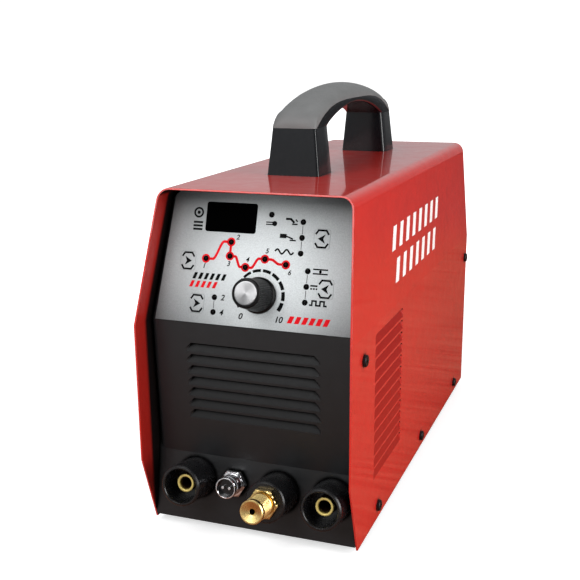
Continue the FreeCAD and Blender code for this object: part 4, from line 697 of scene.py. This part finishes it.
# ---------------------------------------------------------------- handle
class Handle:
    """The carrying handle: a black arched base under a grey crowned grip."""
    HALF, LEG, RISE, START = 104.9, 29.0, 63.2, 34.0     # half length, leg depth, crest and grip height
    CORNER = 15.0                                        # radius of the crest's two ends
    FOOT, WAIST = 20.2, 16.7                             # half widths at the roof and from START upwards
    CREASE = 51.5                                        # height of the grip's side edge at the middle
    SPREAD = 3.0                                         # how far the legs' ends lean out at the roof
    SQUARE, ROUND, ROUNDEST = 6.0, 2.3, 2.15             # powers of the crown's section, from leg to middle
    ARCH_LOW, ARCH_HIGH = 34.3, 47.5                     # the arch's underside at its ends and middle
    COLUMNS = 24

    def __init__(self):
        low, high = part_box("handle_base")
        self.middle = Vector(((low.x + high.x) / 2, (low.y + high.y) / 2, ROOF))
        side, drop = self.HALF - self.CORNER, self.RISE - self.START
        self.crown = (side ** 2 + drop ** 2 - self.CORNER ** 2) / (2 * (drop - self.CORNER))
        self.stations = self.front_half()
        mirrored = []
        for station in reversed(self.stations[:-1]):
            turned = {key: (-station[key][0], station[key][1]) for key in ("outer", "crease", "inner")}
            mirrored.append(dict(station, **turned))
        self.stations += mirrored

    def inner_at(self, y):
        """Height of the arch's underside: an arc through the legs' tops and its middle."""
        reach, rise = self.HALF - self.LEG, self.ARCH_HIGH - self.ARCH_LOW
        radius = (reach ** 2 + rise ** 2) / (2 * rise)
        return self.ARCH_HIGH - radius + math.sqrt(radius ** 2 - y ** 2)

    def crease_at(self, y, ends):
        """Height of the grip's side edge, which falls to START at y = ends."""
        return self.CREASE - (self.CREASE - self.START) * abs(y / ends) ** 3.55

    def station(self, outer, crease, inner, power, grip=True):
        """One section: (y, z) over the crown, at the side edge and under the arch, with half widths."""
        widths = [self.FOOT + (self.WAIST - self.FOOT) * min(1.0, z / self.START) for y, z in (outer, inner)]
        return {"outer": outer, "crease": crease, "inner": inner, "power": power, "width": widths[0],
                "inner_width": widths[1], "grip": grip}

    def front_half(self):
        """Sections from the front leg's foot to the handle's middle."""
        made = []
        skin, ease = 3.0, 16.0                           # from a leg's front to its side edge, and its run
        back, edge = self.HALF - self.LEG, self.HALF - skin
        for level in (0.0, 2.0, 10.0, 18.0, 26.0, 31.0, self.START):
            out = -self.HALF - self.SPREAD * (1 - level / self.START)
            made.append(self.station((out, level), (out + skin, level), (-back, level), self.SQUARE, False))
        centre = (-(self.HALF - self.CORNER), self.START)
        crown_centre = self.RISE - self.crown
        meet = math.atan2(centre[1] - crown_centre, -centre[0])

        def on_grip(outer, side, under, power):
            crease, inner = (side, self.crease_at(side, edge)), (under, self.inner_at(under))
            made.append(self.station(outer, crease, inner, power))
        steps = 14
        for step in range(steps + 1):
            share = step / steps
            angle = TURN / 2 - meet * share
            outer = (centre[0] + self.CORNER * math.cos(angle), centre[1] + self.CORNER * math.sin(angle))
            power = self.SQUARE - (self.SQUARE - self.ROUND) * share ** 0.7
            on_grip(outer, -edge + ease * share, -back + 5.0 * share, power)
        starts = [made[-1][key][0] for key in ("outer", "crease", "inner")]
        steps = 22
        for step in range(1, steps + 1):
            share = step / steps
            y, side, under = (start * (1 - share) for start in starts)
            outer = (y, crown_centre + math.sqrt(self.crown ** 2 - y ** 2))
            on_grip(outer, side, under, self.ROUND - (self.ROUND - self.ROUNDEST) * share)
        return made

    def crown_row(self, station, sink=0.0, spare=0.0):
        """Points over the crown from the left crease to the right one."""
        outer = Vector(station["outer"])
        fall = Vector(station["crease"]) - outer
        row = []
        for column in range(self.COLUMNS + 1):
            angle = math.pi * (column / self.COLUMNS - 0.5)
            sine, cosine = math.sin(angle), math.cos(angle)
            x = (station["width"] - spare) * math.copysign(abs(sine) ** (2 / station["power"]), sine)
            share = 1 - abs(cosine) ** (2 / station["power"])
            y, z = outer + fall * share + fall.normalized() * sink * abs(cosine) ** 0.5
            row.append((x, y, z))
        return row

    def under_row(self, station):
        """Points from the right crease down the side, under the arch and up to the left crease."""
        crease = Vector(station["crease"])
        down = Vector(station["inner"]) - crease
        length = down.length
        down.normalize()
        width, low_width = station["width"], station["inner_width"]
        round_by = min(2.6, 0.7 * length)
        straight = length - round_by
        rights = [(width + (low_width - width) * share, straight * share) for share in (0.33, 0.66)]
        for step in range(5):
            angle = math.pi / 2 * step / 4
            rights.append((low_width - round_by * (1 - math.cos(angle)),
                           length - round_by * (1 - math.sin(angle))))
        row = []
        for x, reach in rights + [(-x, reach) for x, reach in reversed(rights)]:
            y, z = crease + down * reach
            row.append((x, y, z))
        return row

    def loft(self, rows):
        """Closed solid through equal closed rows of points."""
        count = len(rows[0])
        verts = [point for row in rows for point in row]
        faces = [tuple(range(count)), tuple(range(len(verts) - 1, len(verts) - count - 1, -1))]
        for ring in range(len(rows) - 1):
            for step in range(count):
                after = (step + 1) % count
                faces.append((ring * count + step, ring * count + after,
                              (ring + 1) * count + after, (ring + 1) * count + step))
        return verts, faces

    def make(self):
        """The base, sunk by seat under the grip, and the grip, which laps a little over its sides."""
        seat, lap = 1.6, 0.25
        matrix = Matrix.Translation(self.middle)
        rows, lid = [], []
        for before, station in zip([None] + self.stations, self.stations):
            sunk = seat if station["grip"] else 0.0
            if before and before["grip"] != station["grip"]:
                sink = seat if before["grip"] else 0.0
                rows.append(self.crown_row(before, sink) + self.under_row(before))
            if sunk and not (before and before["grip"]):
                rows.append(self.crown_row(station, 0.0) + self.under_row(station))
            rows.append(self.crown_row(station, sunk) + self.under_row(station))
        base = piece("handle_shell", *self.loft(rows), FINISHES["handle_black"], "handle_black",
                     matrix=matrix, smooth=50)
        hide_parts("handle_base")
        for station in self.stations:
            if station["grip"]:
                top = self.crown_row(station, 0.0, -lap)
                below = self.crown_row(station, seat - 0.1, 0.05)
                lid.append(top + below[::-1])
        grip = piece("handle_soft_grip", *self.loft(lid), FINISHES["grip_grey"], "grip_grey",
                     matrix=matrix, smooth=60)
        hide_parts("handle_grip")


# ---------------------------------------------------------------- knob and connectors
def make_knob():
    """A fluted knob with a skirt and a glossy rim round its spun aluminium cap."""
    low, top = FILM + 0.8, FILM + 24.8
    foot, wide, narrow, face = 12.4, 11.2, 10.0, 7.9
    profile = [(3.0, low + 2.5), (7.5, low + 2.5), (7.5, low), (foot - 0.5, low), (foot, low + 0.5),
               (foot, low + 2.0), (foot - 0.4, low + 2.6), (wide, low + 3.2)]
    profile += dense([(wide - 0.02, low + 3.8), (narrow + 0.05, top - 2.2)], 1.5)
    profile += [(narrow, top - 1.2), (narrow - 0.35, top - 0.4), (narrow - 0.9, top), (face + 0.3, top),
                (face + 0.05, top - 0.3), (face + 0.05, top - 0.6), (3.0, top - 0.6)]

    flutes, flute_depth, run_out = 48, 0.42, 1.2
    flute_low, flute_high = low + 3.5, top - 1.5

    def fluted(radius, angle, height):
        if radius < narrow - 0.3 or not flute_low < height < flute_high:
            return radius
        fade = min(1.0, (height - flute_low) / run_out, (flute_high - height) / run_out)
        return radius - flute_depth * fade * (0.5 + 0.5 * math.cos(flutes * angle)) ** 1.5
    made = piece("knob_fluted", *lathe(profile, 480, fluted), FINISHES["knob_plastic"], "knob_plastic",
                 "amps_knob_body", KNOB_FACE.matrix(), 40)
    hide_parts("amps_knob")
    cap = dense([(face - 0.4, top + 0.18), (0.4, top + 0.32)], 0.6)
    profile = [(0, top - 0.6), (face, top - 0.6), (face, top - 0.1), (face - 0.15, top + 0.12)] + cap
    profile.append((0, top + 0.32))
    made = piece("knob_spun_cap", *lathe(profile, 128), FINISHES["spun_aluminium"], "spun_aluminium",
                 "amps_knob_body", KNOB_FACE.matrix(), 30)
    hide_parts("knob_cap")


def make_torch_nipple():
    """The brass gas and power nipple: hexagon, relief, thread and a face turned round its gas hole."""
    reach, hexagon_rise, tip = 28.0, 4.5, 51.5
    shoulder, radius, bore = reach + hexagon_rise, 8.33, 2.0
    flats = 19.0
    corner = flats / math.sqrt(3)
    brass = spun("brass_turned", (0.93, 0.68, 0.27), 0.24)
    # Painted shade: the thread's roots and the other narrow hollows are darkened towards deep brown.
    brass.darken_hollows((0.16, 0.07, 0.02), 1.3, 0.35, 0.80)
    hexed = hexagonal(flats, 1.0, reach + 0.02, shoulder)
    thread = threaded(1.5, 0.8, shoulder + 2.4, tip - 3.0, radius - 0.9)

    def shape(distance, angle, height):
        if reach < height <= shoulder + 0.01 and distance > radius:
            return hexed(distance, angle, height)
        return thread(distance, angle, height)
    profile = [(bore, -24.0), (4.0, -24.0), (4.0, -16.0), (7.0, -16.0), (7.0, reach + 0.02)]
    profile += dense([(9.0, reach + 0.03), (corner, reach + 0.04), (corner, shoulder), (8.6, shoulder)],
                     0.5)
    profile += [(radius - 1.0, shoulder + 0.02), (radius - 1.0, shoulder + 1.6)]
    profile += dense([(radius, shoulder + 2.3), (radius, tip - 1.0)], 0.15)
    profile += [(radius - 0.4, tip - 0.3), (radius - 0.8, tip)]
    profile += dense([(radius - 1.1, tip), (bore + 0.5, tip - 1.6)], 0.6) + [(bore, tip - 2.1)]
    made = piece("torch_nipple_threaded", *lathe(profile, 144, shape), brass.material, "brass",
                 matrix=TORCH.matrix(), smooth=28)
    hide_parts("torch_gas_nipple")


def make_signal_connector():
    """The chromed two-pin connector: hexagon nut behind a finely threaded shell with a bright rim."""
    outer, reach = 7.5, 17.5
    thread = threaded(1.0, 0.35, 6.3, reach - 4.4, outer - 0.2)
    bore, seat = outer - 1.1, outer - 1.6
    profile = [(seat, -9.0), (7.0, -9.0), (7.0, 0.0), (8.6, 0.0), (8.6, 1.5), (outer, 1.5)]
    profile += dense([(outer, 6.2), (outer, reach - 4.2)], 0.16)
    profile += [(outer + 0.1, reach - 4.0), (outer + 0.1, reach - 0.5), (outer - 0.25, reach),
                (bore + 0.3, reach), (bore, reach - 0.4), (bore, 3.0), (seat, 3.0)]
    made = piece("signal_shell_threaded", *lathe(profile, 96, thread), FINISHES["chrome"], "chrome",
                 matrix=SIGNAL.matrix(), smooth=28)
    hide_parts("signal_shell")
    low, high, flats = 1.52, 6.0, 17.5
    corner = flats / math.sqrt(3)
    hollow = outer + 0.02
    profile = dense([(hollow, low), (corner, low + 0.01), (corner, high), (hollow, high + 0.01)], 0.5)
    made = piece("signal_hex_nut", *lathe(profile, 144, hexagonal(flats, 0.8, low, high)),
                 FINISHES["chrome"], "chrome", matrix=SIGNAL.matrix(), smooth=28)
    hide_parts("signal_nut")


def make_socket_inserts():
    """Brass rings in both lead sockets: a faceted outside, a chamfered mouth and a twist-lock bore."""
    face, bore, outer = 19.5, 4.5, 6.65
    profile = [(0, -22.0), (5.0, -22.0), (5.0, -12.0), (outer, -12.0), (outer, face - 0.5),
               (outer - 0.4, face - 0.1), (outer - 0.7, face), (bore + 0.75, face),
               (bore + 0.35, face - 0.15), (bore, face - 0.7), (bore, face - 8.0), (bore + 0.01, -2.4),
               (0, -4.4)]
    facets = hexagonal(12.9)

    def shape(radius, angle, height):
        return facets(radius, angle, height) if height > 9.2 and radius > outer - 0.9 else radius
    pale = finish("brass_ring", (0.95, 0.74, 0.24), 0.36, metal=0.45, grain=0.004, edge=0.15)
    # Painted shade: the deep bore goes nearly black and loses most of its shine.
    pale.darken_hollows((0.035, 0.014, 0.008), 14.0, 0.30, 0.62, specular=0.5)
    rings = [piece("output_insert_" + side, *lathe(profile, 144, shape), pale.material, "brass",
                   matrix=face_frame.matrix(), smooth=28) for side, face_frame in SOCKETS.items()]
    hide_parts("output_socket_inserts")


# ---------------------------------------------------------------- studio
def softbox(name, place, target, wide, high, power):
    light = bpy.data.lights.new(name, "AREA")
    light.shape = "RECTANGLE"
    light.size, light.size_y = wide, high
    light.energy = power
    made = bpy.data.objects.new(name, light)
    made.location = place
    made.rotation_euler = (Vector(target) - Vector(place)).to_track_quat("-Z", "Y").to_euler()
    bpy.context.scene.collection.objects.link(made)


def make_backdrop():
    """White behind the machine for the camera, and a dimmer room, darkest on the right, for light."""
    world = bpy.data.worlds.new("studio")
    world.use_nodes = True
    nodes, link = world.node_tree.nodes, world.node_tree.links.new
    room, white = nodes["Background"], nodes.new("ShaderNodeBackground")
    room.inputs["Color"].default_value = (0.96, 0.98, 1.0, 1.0)
    white.inputs["Color"].default_value = (1.0, 1.0, 1.0, 1.0)
    white.inputs["Strength"].default_value = 1.1
    kinds = ("TexCoord", "SeparateXYZ", "MapRange")
    towards, split, dim = (nodes.new("ShaderNode" + kind) for kind in kinds)
    link(towards.outputs["Generated"], split.inputs[0])
    link(split.outputs["X"], dim.inputs["Value"])
    for name, value in (("From Min", 0.0), ("From Max", 0.3), ("To Min", 0.50), ("To Max", 0.12)):
        dim.inputs[name].default_value = value
    link(dim.outputs["Result"], room.inputs["Strength"])
    ray, choice = nodes.new("ShaderNodeLightPath"), nodes.new("ShaderNodeMixShader")
    for source, socket in ((ray.outputs["Is Camera Ray"], 0), (room.outputs[0], 1), (white.outputs[0], 2)):
        link(source, choice.inputs[socket])
    link(choice.outputs[0], nodes["World Output"].inputs["Surface"])
    bpy.context.scene.world = world


def floor_paper():
    """White paper to the eye. Reflections see a bench: dark warm boards, and pale beyond its front."""
    made = finish("floor_paper", (0.86, 0.86, 0.86), 0.7, grain=0.01, tint=0.01)
    paper = made.painted()
    ray = made.add("LightPath").outputs
    streaks = made.spread(made.noise(9.0, 4.0, (16, 1, 1)), 0.0, 1.0)
    boards = made.mix(streaks, (0.50, 0.25, 0.16), (0.10, 0.03, 0.02))
    depth = made.spot()["Y"]
    ahead = made.spread(depth, 1.0, 0.0, -0.50, -0.42)
    behind = made.spread(depth, 0.0, 1.0, 0.9, 1.6)
    seen = made.mix(behind, made.mix(ahead, boards, (0.55, 0.55, 0.55)), (0.13, 0.12, 0.12))
    away = made.add("VectorMath", {0: made.place}, operation="LENGTH").outputs["Value"]
    lift = made.spread(away, 0.60, 1.2, 0.25, 0.9)
    made.set(Base_Color=made.mix(ray["Is Glossy Ray"], paper, seen), Emission_Color=(1.0, 1.0, 1.0),
             Emission_Strength=made.math("MULTIPLY", ray["Is Camera Ray"], lift), Specular_IOR_Level=0.1)
    return made.material


def make_studio():
    """A wide floor and four softboxes: key, right, top and a low one that lines the handle's edge."""
    make_backdrop()
    half = 6.0
    mesh = bpy.data.meshes.new("floor")
    corners = [(-half, -half, 0), (half, -half, 0), (half, half, 0), (-half, half, 0)]
    mesh.from_pydata(corners, [], [(0, 1, 2, 3)])
    floor = bpy.data.objects.new("floor", mesh)
    mesh.materials.append(floor_paper())
    bpy.context.scene.collection.objects.link(floor)

    middle = (0.0, 0.0, 0.13)
    softbox("key_box", (-0.5, -1.5, 1.3), middle, 1.1, 1.1, 17)
    softbox("right_box", (1.7, -0.4, 0.8), middle, 0.9, 1.2, 25)
    softbox("top_box", (-0.3, 0.5, 1.8), middle, 1.6, 1.2, 4)
    softbox("corner_strip", (0.80, -0.45, 0.15), (0.0, -0.08, 0.2), 0.5, 0.28, 1.4)


def make_camera():
    """Stands at the front, a little to the right and above, as somebody would look at the machine."""
    azimuth, elevation, roll = math.radians(20.636), math.radians(15.796), -0.009046
    camera = bpy.data.cameras.new("camera")
    camera.sensor_width = 36.0
    camera.lens = 58.754
    camera.shift_x, camera.shift_y = -0.00148, 0.0459
    made = bpy.data.objects.new("camera", camera)
    made.location = Vector((240.578, -736.961, 335.435)) * MM
    back = Vector((math.sin(azimuth) * math.cos(elevation), -math.cos(azimuth) * math.cos(elevation),
                   math.sin(elevation)))
    made.rotation_mode = "QUATERNION"
    level = (-back).to_track_quat("-Z", "Y")
    made.rotation_quaternion = level @ Matrix.Rotation(roll, 4, "Z").to_quaternion()
    bpy.context.scene.collection.objects.link(made)
    bpy.context.scene.camera = made


paint_frame()
make_cycle_curve()
make_lamp_links()
make_dial()
make_symbols()
make_badges()
make_numbers()
make_key_icons()
make_side_marks()
Handle().make()
make_knob()
make_torch_nipple()
make_signal_connector()
make_socket_inserts()
make_studio()
make_camera()
bpy.context.scene.view_settings.view_transform = "Standard"
